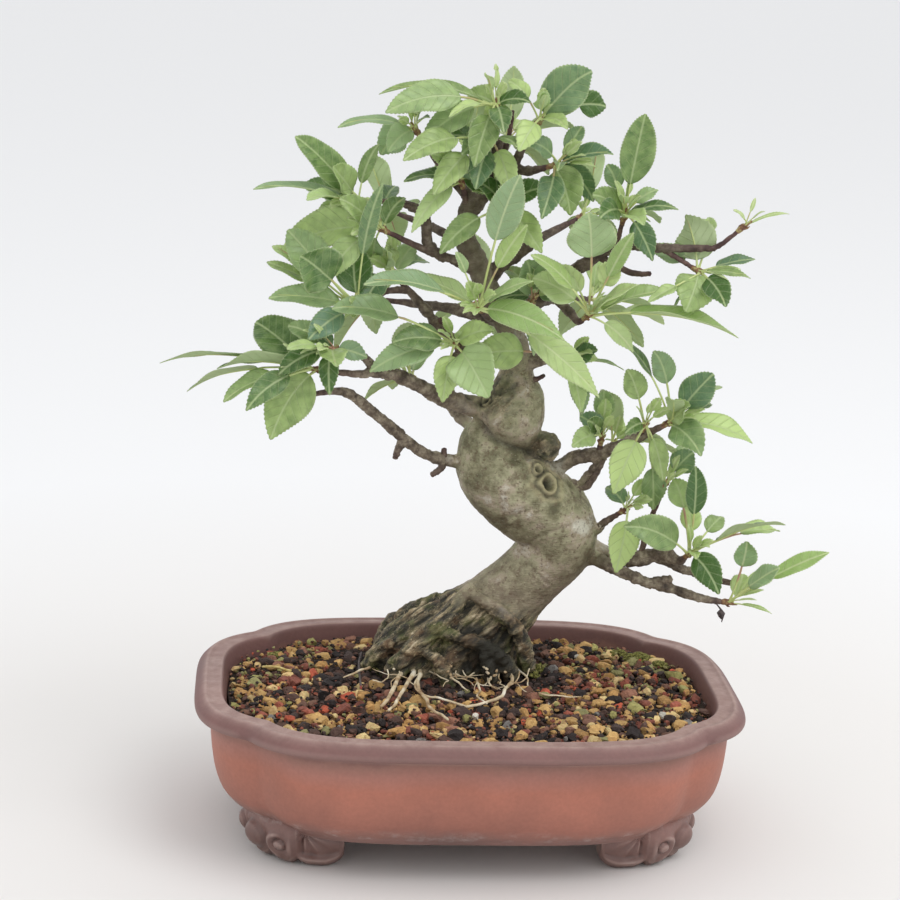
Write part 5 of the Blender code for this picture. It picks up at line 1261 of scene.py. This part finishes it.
# %% Leaves of each spray, as (dx, dy, dz, length, width, facing)
SPRAYS = {
    "low_left": [
        (-20, -8, -27, 31, 19, 0.95), (-42, -2, 1, 36, 14, -0.5), (-65, 2, -2, 42, 9, -0.3),
        (-54, 8, -10, 32, 8, -0.3), (-39, -6, -12, 24, 10, 0.3), (-27, 10, 12, 30, 19, 0.6),
        (-24, 16, 6, 24, 8, 0.3), (-30, -14, -12, 24, 10, 0.7)],
    "low_left_under": [(-21, 10, -2, 18, 8, 0.4), (-12, -8, -3, 12, 6, 0.5), (-7, 14, 6, 14, 7, 0.3)],
    "left_rosette": [
        (-11, -2, 8, 13, 7, 0.5), (-21, 4, 9, 17, 9, 0.6), (-2, -18, -3, 17, 12, 0.6),
        (-17, -10, 3, 16, 6, 0.4), (11, 8, -3, 12, 8, 0.7), (-4, -10, -16, 15, 8, 0.6),
        (-26, -6, -9, 20, 10, 0.6)],
    "spur_left": [
        (-36, -14, -8, 29, 12, 0.7), (-52, -20, 19, 31, 13, 0.45), (12, -20, -16, 22, 20, 0.95),
        (-9, -14, 9, 10, 4, 0.3), (14, -12, 10, 18, 10, 0.6),
        (-27, -8, 4, 22, 12, 0.6), (-6, -16, -20, 18, 11, 0.8)],
    "centre_front": [
        (-49, -22, 15, 38, 12, 0.35), (-28, 0, 13, 26, 12, 0.3), (12, -8, 58, 34, 14, 0.95),
        (16, -10, 37, 24, 8, 0.6), (19, -14, 15, 22, 9, 0.35), (32, -20, -6, 34, 13, 0.6),
        (48, -14, -30, 34, 13, 0.6), (-12, -8, 25, 12, 5, 0.4)],
    "centre_right": [
        (-3, -6, 20, 19, 14, 0.5), (1, -10, -18, 19, 8, 0.7), (-10, 14, 13, 18, 9, 0.4),
        (-14, 4, 1, 14, 9, 0.5), (18, -10, 6, 20, 10, 0.6)],
    "right_front": [
        (20, -10, 17, 25, 9, 0.25), (36, -2, 13, 33, 9, 0.25), (11, -10, 26, 15, 10, 0.5),
        (-2, -10, 45, 23, 20, 0.95), (17, -16, 39, 27, 7, 0.6), (62, -10, -4, 46, 12, 0.15),
        (34, 4, -2, 22, 11, -0.4), (20, -6, -12, 16, 8, 0.6), (-10, 8, 21, 16, 8, 0.4),
        (-22, 6, 16, 20, 14, 0.6), (-24, -8, 27, 24, 9, 0.4)],
    "collar_right": [
        (8, -12, -19, 19, 8, 0.3), (10, -4, -21, 15, 8, 0.8), (11, 10, -27, 26, 6, 0.3),
        (-39, -18, 5, 22, 15, 0.8), (28, 6, -4, 19, 4, 0.2),
        (-12, -14, 8, 16, 10, 0.8), (14, -10, 7, 16, 9, 0.6)],
    "mid_right_near": [
        (-10, -4, 13, 15, 10, 0.6), (-8, -10, 13, 13, 7, 0.8), (1, 2, 22, 14, 9, 0.7),
        (-14, -10, 2, 14, 9, 0.7)],
    "mid_right": [
        (-9, -6, 27, 17, 10, 0.9), (-12, -8, -25, 21, 15, 0.9), (10, 0, -21, 17, 9, 0.5),
        (8, 8, -36, 16, 11, 0.6), (-9, -10, 1, 10, 6, 0.7)],
    "mid_right_tip": [
        (9, -12, 12, 16, 10, 0.6), (14, -16, -8, 21, 14, 0.7), (38, -2, -6, 31, 12, 0.35),
        (25, 4, 17, 22, 8, -0.4), (22, 10, 8, 14, 7, 0.4), (-24, -10, 40, 28, 8, 0.3),
        (-8, -4, 34, 19, 10, 0.7), (19, 2, 24, 21, 14, 0.85), (3, -14, 16, 16, 8, 0.3)],
    "low_right_inner": [(-5, 12, 8, 14, 8, 0.6), (-2, -10, -23, 20, 13, 0.85)],
    "low_right": [
        (-29, -12, 17, 28, 14, 0.75), (1, -4, 41, 25, 9, 0.6), (-6, 6, 33, 16, 11, 0.7),
        (1, 6, 22, 14, 9, 0.7), (40, -8, 18, 32, 14, -0.35), (41, 6, 11, 20, 9, 0.3),
        (13, -12, -12, 20, 12, 0.85), (17, 12, 15, 14, 8, 0.5)],
    "low_right_twig": [(12, -2, 18, 13, 11, 0.8), (19, 4, 17, 10, 5, 0.3), (-8, 10, 2, 10, 6, 0.4)],
    "low_right_tip": [
        (44, -4, 24, 30, 8, 0.45), (22, -10, 19, 19, 10, 0.4), (9, -2, 28, 14, 10, 0.7),
        (17, 4, 14, 14, 3, 0.3), (21, -6, -3, 14, 2.4, 0.3), (11, 12, 9, 14, 8, 0.4)],
    "right_tip": [(20, -2, 8, 20, 2.4, 0.3), (-3, -2, 9, 7, 3, 0.3)],
    "right_cluster": [
        (-4, 8, 20, 20, 19, -0.75), (9, 12, 19, 20, 9, -0.6), (-4, -12, -16, 19, 17, 0.85),
        (26, 2, 4, 18, 7, 0.3), (22, -6, -1, 20, 6, 0.3), (-5, 8, -17, 11, 5, 0.3),
        (-14, -8, -12, 14, 6, 0.3), (-16, 10, 6, 16, 9, 0.6), (11, -14, -12, 18, 11, 0.8)],
    "right_high": [
        (6, -18, 2, 17, 9, 0.5), (-14, -8, 12, 18, 12, 0.6), (22, -4, 7, 21, 7, 0.35),
        (6, -6, 45, 33, 14, 0.9), (-7, 4, 23, 13, 8, 0.7), (14, 4, 11, 12, 6, 0.5),
        (17, 10, -1, 15, 9, 0.2), (-12, -12, 0, 15, 10, 0.7), (12, -8, -14, 16, 10, 0.7)],
    "high_right": [
        (9, -12, -18, 21, 15, 0.85), (-4, -18, -18, 20, 11, 0.75), (25, -10, 8, 26, 9, 0.4),
        (1, -24, 2, 22, 5, 0.5), (20, -4, -13, 22, 10, 0.8), (14, 6, 17, 15, 7, 0.5),
        (-11, -12, 12, 16, 9, 0.6)],
    "apex_right": [
        (21, -6, 23.9, 31, 18, 0.7), (29, 6, 9, 13, 11, 0.9), (-11, 8, 18, 13, 7, 0.5),
        (11, -14, 2, 16, 7, 0.5), (18, 10, 19, 20, 14, 0.6), (0, -12, 15, 12, 7, 0.7),
        (-8, -16, -8, 15, 10, 0.75)],
    "apex_left": [
        (-47, 2, 7, 42, 8, 0.25), (-45, -10, 1, 32, 14, 0.6), (-20, -16, 0, 17, 6, 0.2),
        (-11, 6, 6, 13, 9, 0.7), (13, -8, 6, 15, 8, 0.5), (2, -16, -6, 14, 9, 0.7),
        (-30, -6, -12, 24, 12, 0.6), (-9, -14, -20, 20, 12, 0.8)],
    "high_left": [
        (-27, -8, 3, 25, 9, 0.4), (-36, -20, -2, 28, 12, 0.55), (-12, -22, 0, 20, 10, 0.6),
        (11, -18, 4, 14, 6, 0.4), (-19, 12, 7, 18, 8, 0.4), (-6, -14, -12, 16, 11, 0.8),
        (-23, -16, -15, 20, 11, 0.6), (9, -16, -15, 18, 10, 0.8)],
    "far_left_top": [
        (-33, 0, 3, 29, 7, 0.3), (-13, -6, -6, 14, 10, 0.6), (3, -8, 7, 8, 4, 0.4),
        (-15, 8, -9, 16, 13, 0.75)],
    "left_high": [
        (-30, -10, 28, 38, 13, 0.55), (-26, 8, 6, 24, 12, 0.5), (-15, -14, 16, 19, 11, 0.6),
        (-46, -4, 6, 44, 7, 0.2), (4, 2, 24, 19, 6, 0.5), (-25, -12, 3, 22, 8, 0.3),
        (-20, 6, -14, 21, 12, 0.6)],
    "left_purple": [
        (7, 8, 14, 15, 8, 0.4), (-41, 14, -10, 38, 18, 0.6), (-5, 14, -14, 14, 8, 0.6),
        (4, 18, 16, 18, 8, 0.4), (-20, -8, 14, 20, 10, 0.6), (-24, -10, -18, 20, 11, 0.7)],
    "left_mid": [
        (-26, -12, 27, 22, 20, 0.8), (-4, 8, 24, 22, 15, 0.8), (6, -8, 50, 34, 7, 0.7),
        (-38, -2, 3, 30, 12, 0.45), (-39, 10, 14, 26, 8, 0.3), (-37, 18, 22, 26, 9, 0.3),
        (-31, 10, 29, 25, 16, 0.7), (-22, -12, -12, 20, 11, 0.7)],
    "left_inner": [
        (7, 8, 14, 15, 9, 0.4), (-12, 10, 12, 17, 9, 0.4), (13, 14, 6, 16, 8, 0.3),
        (-16, -10, -10, 18, 10, 0.7), (-6, -14, 14, 18, 9, 0.6)],
    "fork_left": [
        (-21, -16, -16, 25, 8, 0.6), (-24, 0, 2, 21, 9, 0.3), (-11, 14, -10, 18, 8, 0.5),
        (2, -14, 10, 15, 10, 0.7), (-14, -10, 16, 18, 9, 0.6), (12, -12, -2, 17, 9, 0.7)],
    "fork_mid": [
        (-4, -18, 7, 16, 15, 0.95), (-29, -12, -15, 21, 10, 0.65), (11, 4, -10, 12, 7, 0.4),
        (14, -12, 12, 18, 10, 0.6), (-16, -8, 14, 18, 9, 0.6), (12, -12, -14, 18, 11, 0.8)],
}
BACK_LEAVES = 4
BACK_SPRAYS = [name for name in LIMBS if name.startswith("back_")]
YOUNG_SPRAYS = ("centre_front", "low_right_tip", "right_tip", "right_front", "low_left_under")
GOLDEN_ANGLE = math.radians(137.5)
GAP = 0.35
SHOOT_LENGTH = 5.0

# %% The line and lie of a leaf
BLADE_THICK = 0.7          # of the solid's blade
LEAF_THICK = 0.34          # of this finer blade, at its midrib
FOLD = 0.40
WAVE = 0.05
ARCH = 0.13
PETIOLE_RADIUS = 0.58


def blade_width(t):
    """Half width along the blade, 0 at the petiole, 1 at its widest, 0 at the pointed tip."""
    return 2.87 * (1 - t) ** 0.95 * t ** 0.62


class Leaf:
    """One leaf as a midrib curve with a blade along its outer end."""

    def __init__(self, start, tip, heading, length, width, facing, back):
        chord = tip - start
        reach = chord.length
        self.start, self.tip = start, tip
        self.middle = start + chord * 0.5 + (heading * 0.10 + Vector((0, 0, ARCH))) * reach
        self.blade_from = max(0.10, 1 - length / reach)
        self.length, self.width = min(length, reach * 0.9), width
        show = 1.0 if back else -1.0
        self.towards = Vector((0, show * facing, 1 - abs(facing))).normalized()
        if facing < 0:
            self.towards = Vector((0, show * facing, 1 + facing * 0.2)).normalized()

    def point(self, t):
        return self.start * (1 - t) ** 2 + self.middle * (2 * t * (1 - t)) + self.tip * t * t

    def lie(self, t):
        """The sideways and upward directions at a share of the midrib."""
        along = ((self.middle - self.start) * (1 - t) + (self.tip - self.middle) * t).normalized()
        side = along.cross(self.towards)
        if side.length < 0.2:
            side = along.cross(Vector((0.6, -0.5, 0.6)))
        side.normalize()
        return side, side.cross(along)


def bends():
    """How a leaf may be bent to clear its neighbours, least first."""
    yield Vector((0, 0, 0))
    for k in range(1, 9):
        for sign in (-1, 1):
            yield Vector((0, sign * 2.5 * k, 0))
            yield Vector((0, sign * 2.0 * k, 1.5 * k))
            yield Vector((0, sign * 2.0 * k, -1.5 * k))
            yield Vector((1.5 * k, sign * 2.0 * k, 0))
            yield Vector((-1.5 * k, sign * 2.0 * k, 0))


def rosette(rng, heading):
    """Leaves round a shoot by the golden angle, spread outwards and a little down."""
    across = heading.cross(Vector((0, 0, 1))).normalized()
    over = heading.cross(across)
    rows = []
    for k in range(BACK_LEAVES):
        angle = k * GOLDEN_ANGLE + rng.uniform(-0.3, 0.3)
        out = across * math.cos(angle) + over * math.sin(angle)
        reach = rng.uniform(26, 34)
        tip = (heading * rng.uniform(0.35, 0.7) + out * 0.85 + Vector((0, 0, -0.1))).normalized() * reach
        rows.append((*tip, reach * 0.78, rng.uniform(11, 15), rng.uniform(0.15, 0.5)))
    return rows


def leaves_of(name):
    """The leaves of a spray as the solid has them: each row's least bend whose tip is in the solid."""
    corners = search_tree([v.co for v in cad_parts[f"spray_{name}"].data.vertices])
    line = LIMBS[name]
    base = Vector(line[-1][:3])
    heading = (base - Vector(line[-2][:3])).normalized()
    back = name in BACK_SPRAYS
    rows = rosette(random.Random(SEED + BACK_SPRAYS.index(name)), heading) if back else SPRAYS[name]
    found = []
    for k, row in enumerate(rows):
        start = base + heading * (GAP + SHOOT_LENGTH * (0.35 + 0.5 * (k + 1) / len(rows)))
        for bend in bends():
            leaf = Leaf(start, base + Vector(row[:3]) + bend, heading, *row[3:], back)
            offset = leaf.lie(1.0)[1] * BLADE_THICK / 2
            if all(corners.find(place(leaf.tip + offset * s))[2] < 0.05 * MM for s in (-1, 1)):
                found.append(leaf)
                break
    return base, heading, found, len(rows)


# %% The blade as a sheet
TOOTH_SPACING = 1.35       # mm along the edge; real teeth are nearer 1, too fine to show
TOOTH_DEPTH = 0.24
VEIN_SPACING = 4.2
ACROSS = (-1.0, -0.82, -0.55, -0.27, 0.0, 0.27, 0.55, 0.82, 1.0)


def blade_shape(leaf, rng):
    """Points, faces and the marks of one blade, top sheet and under sheet with a rim between."""
    teeth = max(6, round(leaf.length / TOOTH_SPACING))
    rows = 2 * teeth
    curl = rng.uniform(-0.10, 0.30)
    twist = rng.uniform(-0.55, 0.55)
    droop = rng.uniform(0.0, 0.06) * leaf.length
    points, marks = [], []
    for sheet in (0, 1):
        for i in range(1, rows):
            t = i / rows
            at = leaf.blade_from + (1 - leaf.blade_from) * t
            centre = leaf.point(at) - Vector((0, 0, droop * t ** 3))
            side, up = leaf.lie(at)
            ahead = side.cross(up) * -1.0
            turned = twist * (t - 0.5) * t
            side, up = (
                side * math.cos(turned) + up * math.sin(turned),
                up * math.cos(turned) - side * math.sin(turned))
            half = leaf.width / 2 * blade_width(t)
            wave = leaf.width * WAVE * math.cos(t * 11.0)
            saw = TOOTH_DEPTH * min(1.0, half / 2.2) * (1.0 if i % 2 else -0.25)
            for v in ACROSS:
                edge = abs(v) == 1.0
                out = half * v + (saw * v if edge else 0.0)
                rise = half * FOLD * abs(v) ** 1.35 - wave * v - curl * half * abs(v) ** 3
                phase = (t * leaf.length - abs(out) * 0.9) / VEIN_SPACING
                ripple = 0.20 * min(1.0, half / 4) * abs(math.sin(math.pi * phase))
                quilt = ripple * (1 - abs(v) ** 4) * min(1.0, 3 * abs(v))
                thick = LEAF_THICK / 2 * (1 - 0.55 * abs(v)) * (1 if sheet == 0 else -1)
                point = centre + side * out + up * (rise + quilt + thick)
                if edge and i % 2:
                    point += ahead * 0.35
                points.append(point)
                marks.append((out, t * leaf.length, float(sheet), float(edge)))
    width = len(ACROSS)
    sheet_size = (rows - 1) * width
    faces = []
    for i in range(rows - 2):
        for j in range(width - 1):
            a = i * width + j
            faces.append((a, a + 1, a + width + 1, a + width))
            b = a + sheet_size
            faces.append((b, b + width, b + width + 1, b + 1))
        for j in (0, width - 1):
            a = i * width + j
            rim = (a, a + width, a + width + sheet_size, a + sheet_size)
            faces.append(rim if j == 0 else rim[::-1])
    # the tip and the foot of the blade are closed by one point each
    for t, row in ((1.0, rows - 2), (0.0, 0)):
        at = leaf.blade_from + (1 - leaf.blade_from) * t
        points.append(leaf.point(at) - Vector((0, 0, droop * t ** 3)))
        marks.append((0.0, t * leaf.length, 0.0, 1.0))
        last = len(points) - 1
        a = row * width
        loop = [a + j for j in range(width)] + [a + sheet_size + j for j in reversed(range(width))]
        for m, n in zip(loop, loop[1:] + loop[:1]):
            faces.append((m, n, last) if t else (n, m, last))
    return points, faces, marks


# %% Stalks, shoots and bud scales


def stalk_shape(leaf):
    """The petiole, which runs on under the blade as the midrib and dies away towards the tip."""
    line = []
    for s in range(19):
        share = s / 18
        t = share * (leaf.blade_from + (1 - leaf.blade_from) * 0.86)
        side, up = leaf.lie(t)
        in_blade = max(0.0, (t - leaf.blade_from) / (1 - leaf.blade_from))
        radius = PETIOLE_RADIUS * (0.86 if in_blade == 0 else 0.62 * (1 - in_blade) + 0.10)
        radius *= min(1.0, 0.45 + leaf.width / 20)
        if share < 0.08:
            radius *= 1.35
        line.append((*(leaf.point(t) - up * (radius * 0.9 if in_blade > 0 else 0.0)), radius))
    return tube(line, 7)


def shoot_shape(base, heading, rng):
    """The green shoot with its ring of pointed bud scales."""
    tip = base + heading * (GAP + SHOOT_LENGTH)
    shapes = [tube([
        (*(base - heading * 0.6), 1.05), (*(base + heading * 1.2), 1.2), (*(base + heading * 3), 0.9),
        (*tip, 0.6), (*(tip + heading * 1.6), 0.25)], 10)]
    across = heading.orthogonal().normalized()
    other = heading.cross(across)
    for k in range(6):
        angle = k * GOLDEN_ANGLE
        out = across * math.cos(angle) + other * math.sin(angle)
        foot = base + heading * (0.4 + 0.5 * k) + out * 0.7
        end = foot + (heading * rng.uniform(1.6, 2.6) + out * rng.uniform(0.4, 1.1))
        shapes.append(tube([(*foot, 0.55), (*((foot + end) / 2 + out * 0.25), 0.5), (*end, 0.12)], 5))
    return join(shapes)


# %% [markdown]
# ## Leaf surfaces
# A leaf's top is a waxy mid green and its underside a dull grey-green, and light that falls on one
# side glows through to the other, so the shader mixes a reflecting and a translucent part. The veins
# are drawn from two numbers on the mesh, the distance from the midrib and along it, in millimetres:
# a vein is where the second, slanted by the first, comes back every 4.2 mm.

# %% Material: leaf, in two ages
# the numbers that each point of a leaf carries
LEAF_MARKS = ("across_mm", "along_mm", "under", "rim", "tone", "blue_tone_and_sheen")


def leaf_material(name, top_dark, top_light, below, vein, glow):
    """A leaf's surface: its top's range, its underside, its veins and what glows through it."""
    mat, tree, shader, _ = new_material(name, 0.42)
    across, along, under, rim, tone, blue_tone_and_sheen = (
        add(tree, "Attribute", "Fac", attribute_name=key) for key in LEAF_MARKS)
    away = add(tree, "Math", 0, {0: across}, operation="ABSOLUTE")
    which = add(tree, "Math", 0, {0: across}, operation="SIGN")
    slanted = add(tree, "Math", 0, {0: away, 1: -0.95, 2: along}, operation="MULTIPLY_ADD")
    staggered = add(tree, "Math", 0, {0: which, 1: VEIN_SPACING / 4, 2: slanted}, operation="MULTIPLY_ADD")
    folded = add(tree, "Math", 0, {0: staggered, 1: VEIN_SPACING / 2}, operation="PINGPONG")
    side_vein = add(tree, "MapRange", 0, {0: folded, 1: 0.08, 2: 0.42, 3: 1.0, 4: 0.0})
    midrib = add(tree, "MapRange", 0, {0: away, 1: 0.22, 2: 0.62, 3: 1.0, 4: 0.0})
    sheet = add(tree, "CombineXYZ", 0, {0: across, 1: along, 2: tone})
    net_veins = add(
        tree, "TexVoronoi", "Distance", {"Vector": sheet, "Scale": 0.85}, feature="DISTANCE_TO_EDGE")
    net_line = add(tree, "MapRange", 0, {0: net_veins, 1: 0.0, 2: 0.10, 3: 1.0, 4: 0.0})
    mottle = add(tree, "TexNoise", "Fac", {"Vector": sheet, "Scale": 0.22, "Detail": 4.0})
    shift = add(tree, "Math", 0, {0: mottle, 1: -0.5}, operation="ADD")
    blend = add(tree, "Math", 0, {0: shift, 1: 1.1, 2: tone}, operation="MULTIPLY_ADD", use_clamp=True)
    plain = add(tree, "Mix", 2, {0: blend, 6: top_dark, 7: top_light}, data_type="RGBA")
    # some leaves are bluer: partly their own blue-green, partly a painted bluish sheen
    top = add(tree, "Mix", 2, {0: blue_tone_and_sheen, 6: plain, 7: "#7C9C88"}, data_type="RGBA")
    veined = add(tree, "Mix", 2, {0: under, 6: top, 7: below}, data_type="RGBA")
    for line, strength in ((net_line, 0.13), (side_vein, 0.26), (midrib, 0.62)):
        share = add(tree, "Math", 0, {0: line, 1: strength}, operation="MULTIPLY")
        veined = add(tree, "Mix", 2, {0: share, 6: veined, 7: vein}, data_type="RGBA")
    # the saw-cut margin is a thin pale line
    margin = add(tree, "MapRange", 0, {0: rim, 1: 0.55, 2: 1.0, 3: 0.0, 4: 0.75})
    edged = add(tree, "Mix", 2, {0: margin, 6: veined, 7: vein}, data_type="RGBA")
    fill(shader.inputs["Base Color"], edged)
    groove = add(tree, "Math", 0, {0: side_vein, 1: midrib}, operation="MAXIMUM")
    direction = add(tree, "MapRange", 0, {0: under, 3: -1.0, 4: 1.0})
    relief = add(tree, "Math", 0, {0: groove, 1: direction}, operation="MULTIPLY")
    veins_up = add(tree, "Bump", 0, {"Height": relief, "Strength": 0.7, "Distance": 0.0003})
    fill(shader.inputs["Normal"], veins_up)
    gloss = add(tree, "MapRange", 0, {0: under, 3: 0.28, 4: 0.66})
    fill(shader.inputs["Roughness"], gloss)
    through = add(tree, "Mix", 2, {0: 0.55, 6: veined, 7: glow}, data_type="RGBA")
    glowing = add(tree, "BsdfTranslucent", 0, {"Color": through})
    both = add(tree, "MixShader", 0, {0: 0.30, 1: shader.outputs[0], 2: glowing})
    fill(tree.nodes["Material Output"].inputs["Surface"], both)
    return mat


grown_leaf = leaf_material("grown_leaf", "#466934", "#D2E89B", "#C8D9AA", "#D0E0AA", "#B4D45E")
new_leaf = leaf_material("new_leaf", "#A6C373", "#D3E5A3", "#CCDDAA", "#E2ECBC", "#D6EA84")

# %% Material: petiole and shoot
petiole = clouded("petiole", 0.5, 14, 2.0, [
    (0.34, "#B9937A"), (0.45, "#BBC67E"), (0.7, "#CFDC9C")])
bud_scale = clouded("bud_scale", 0.6, 1.8, 3.0, [
    (0.32, "#5B3B2E"), (0.5, "#8A6647"), (0.64, "#A3A066")])

# %% Small leaves of a spray
# round each shoot stand stipules and half-unfolded leaves, too small for the solids
SPROUTS = 6
SLIM_SPROUTS = {"right_tip": 2, "low_right_tip": 2, "right_cluster": 3, "low_left": 3}


def sprouts(name, base, heading, rng):
    tip = base + heading * SHOOT_LENGTH * 0.8
    slim = 0.4 if name in SLIM_SPROUTS else 1.0
    for k in range(SLIM_SPROUTS.get(name, SPROUTS)):
        angle = k * GOLDEN_ANGLE + rng.uniform(-0.4, 0.4)
        across = heading.orthogonal().normalized()
        out = across * math.cos(angle) + heading.cross(across) * math.sin(angle)
        spread = rng.uniform(0.35, 1.1)
        reach = rng.uniform(8, 17)
        end = tip + (heading + out * spread + Vector((0, -0.15, 0.35))).normalized() * reach
        yield Leaf(tip - heading * rng.uniform(0, 2.5), end, heading, reach * rng.uniform(0.62, 0.8),
                   reach * slim * rng.uniform(0.18, 0.38), rng.uniform(0.1, 0.9), False)


# %% Grow every spray
# the places of the materials on a spray
BLADE, PETIOLE, SCALE, SPROUT = range(4)


def blade_marks(leaves, slot, rng, tone_and_blue_sheen):
    """The shapes of some leaves' blades with the slot of their material, and the marks of their points."""
    shapes, marks = [], []
    for leaf in leaves:
        points, faces, place_marks = blade_shape(leaf, rng)
        shapes.append((points, faces, slot))
        looks = tone_and_blue_sheen()
        marks += [(*row, *looks) for row in place_marks]
    return shapes, marks


missing = 0
blade_total = 0
for index, name in enumerate(LIMBS):
    base, heading, found, rows = leaves_of(name)
    missing += rows - len(found)
    blade_total += len(found)
    rng = random.Random(SEED * 100 + index)
    shapes, marks = blade_marks(
        found, BLADE, rng, lambda: (0.5 + 0.62 * (2 * rng.random() - 1), 0.7 * rng.random() ** 2.5))
    small = list(sprouts(name, base, heading, rng))
    more_shapes, more_marks = blade_marks(small, SPROUT, rng, lambda: (rng.uniform(0.3, 1.0), 0.0))
    shapes += more_shapes + [(*stalk_shape(leaf), PETIOLE) for leaf in found + small]
    shapes.append((*shoot_shape(base, heading, rng), SCALE))
    points, faces = join([(p, f) for p, f, _ in shapes])
    spray = make_piece(f"leaves_{name}", points, faces)
    coat(spray, new_leaf if name in YOUNG_SPRAYS else grown_leaf, petiole, bud_scale, new_leaf)
    spray.data.polygons.foreach_set("material_index", [slot for _, f, slot in shapes for _ in f])
    marks += more_marks
    marks += [(0.0,) * len(LEAF_MARKS)] * (len(points) - len(marks))
    for key, values in zip(LEAF_MARKS, zip(*marks)):
        mark(spray, key, values)
    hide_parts(f"spray_{name}")
print("leaves:", blade_total, "rows without a leaf in the solid:", missing)

# %% [markdown]
# ## Studio
# A plain pale floor under soft light. The photograph's shadows are faint, with one darker pool under
# the pot, so most of the light comes from all round and one large lamp stands above and to the right.

# %% Floor and light
FLOOR_HALF = 30.0
corners = [(sx * FLOOR_HALF, sy * FLOOR_HALF, 0) for sx, sy in ((-1, -1), (1, -1), (1, 1), (-1, 1))]
floor_mesh = bpy.data.meshes.new("floor")
floor_mesh.from_pydata(corners, [], [(0, 1, 2, 3)])
floor = new_object("floor", floor_mesh)
board, tree, shader, spot = new_material("painted_board", 0.85)
# the floor is painted paler and cooler away from the pot, as painted light of the bright backdrop
far = add(tree, "VectorMath", "Value", {0: spot}, operation="LENGTH")
backdrop_light = add(tree, "MapRange", 0, {0: far, 1: 0.25, 2: 0.60})
shade = add(tree, "Mix", 2, {0: backdrop_light, 6: "#E6E4E2", 7: "#EEEFF0"}, data_type="RGBA")
fill(shader.inputs["Base Color"], shade)
coat(floor, board)

world = bpy.data.worlds.new("studio")
bpy.context.scene.world = world
world.use_nodes = True
sky = world.node_tree.nodes["Background"]
sky.inputs["Color"].default_value = colour("#FDFDFE")
sky.inputs["Strength"].default_value = 0.95

LAMP_PLACE = Vector((0.80, -0.70, 1.85))
LAMP_AIM = Vector((0, 0, 0.15))
lamp_data = bpy.data.lights.new("key", "AREA")
lamp_data.shape = "DISK"
lamp_data.size = 1.4
lamp_data.energy = 14.0
lamp = new_object("key", lamp_data)
lamp.location = LAMP_PLACE
lamp.rotation_euler = (LAMP_AIM - LAMP_PLACE).to_track_quat("-Z", "Y").to_euler()
bpy.context.scene.view_settings.view_transform = "Standard"
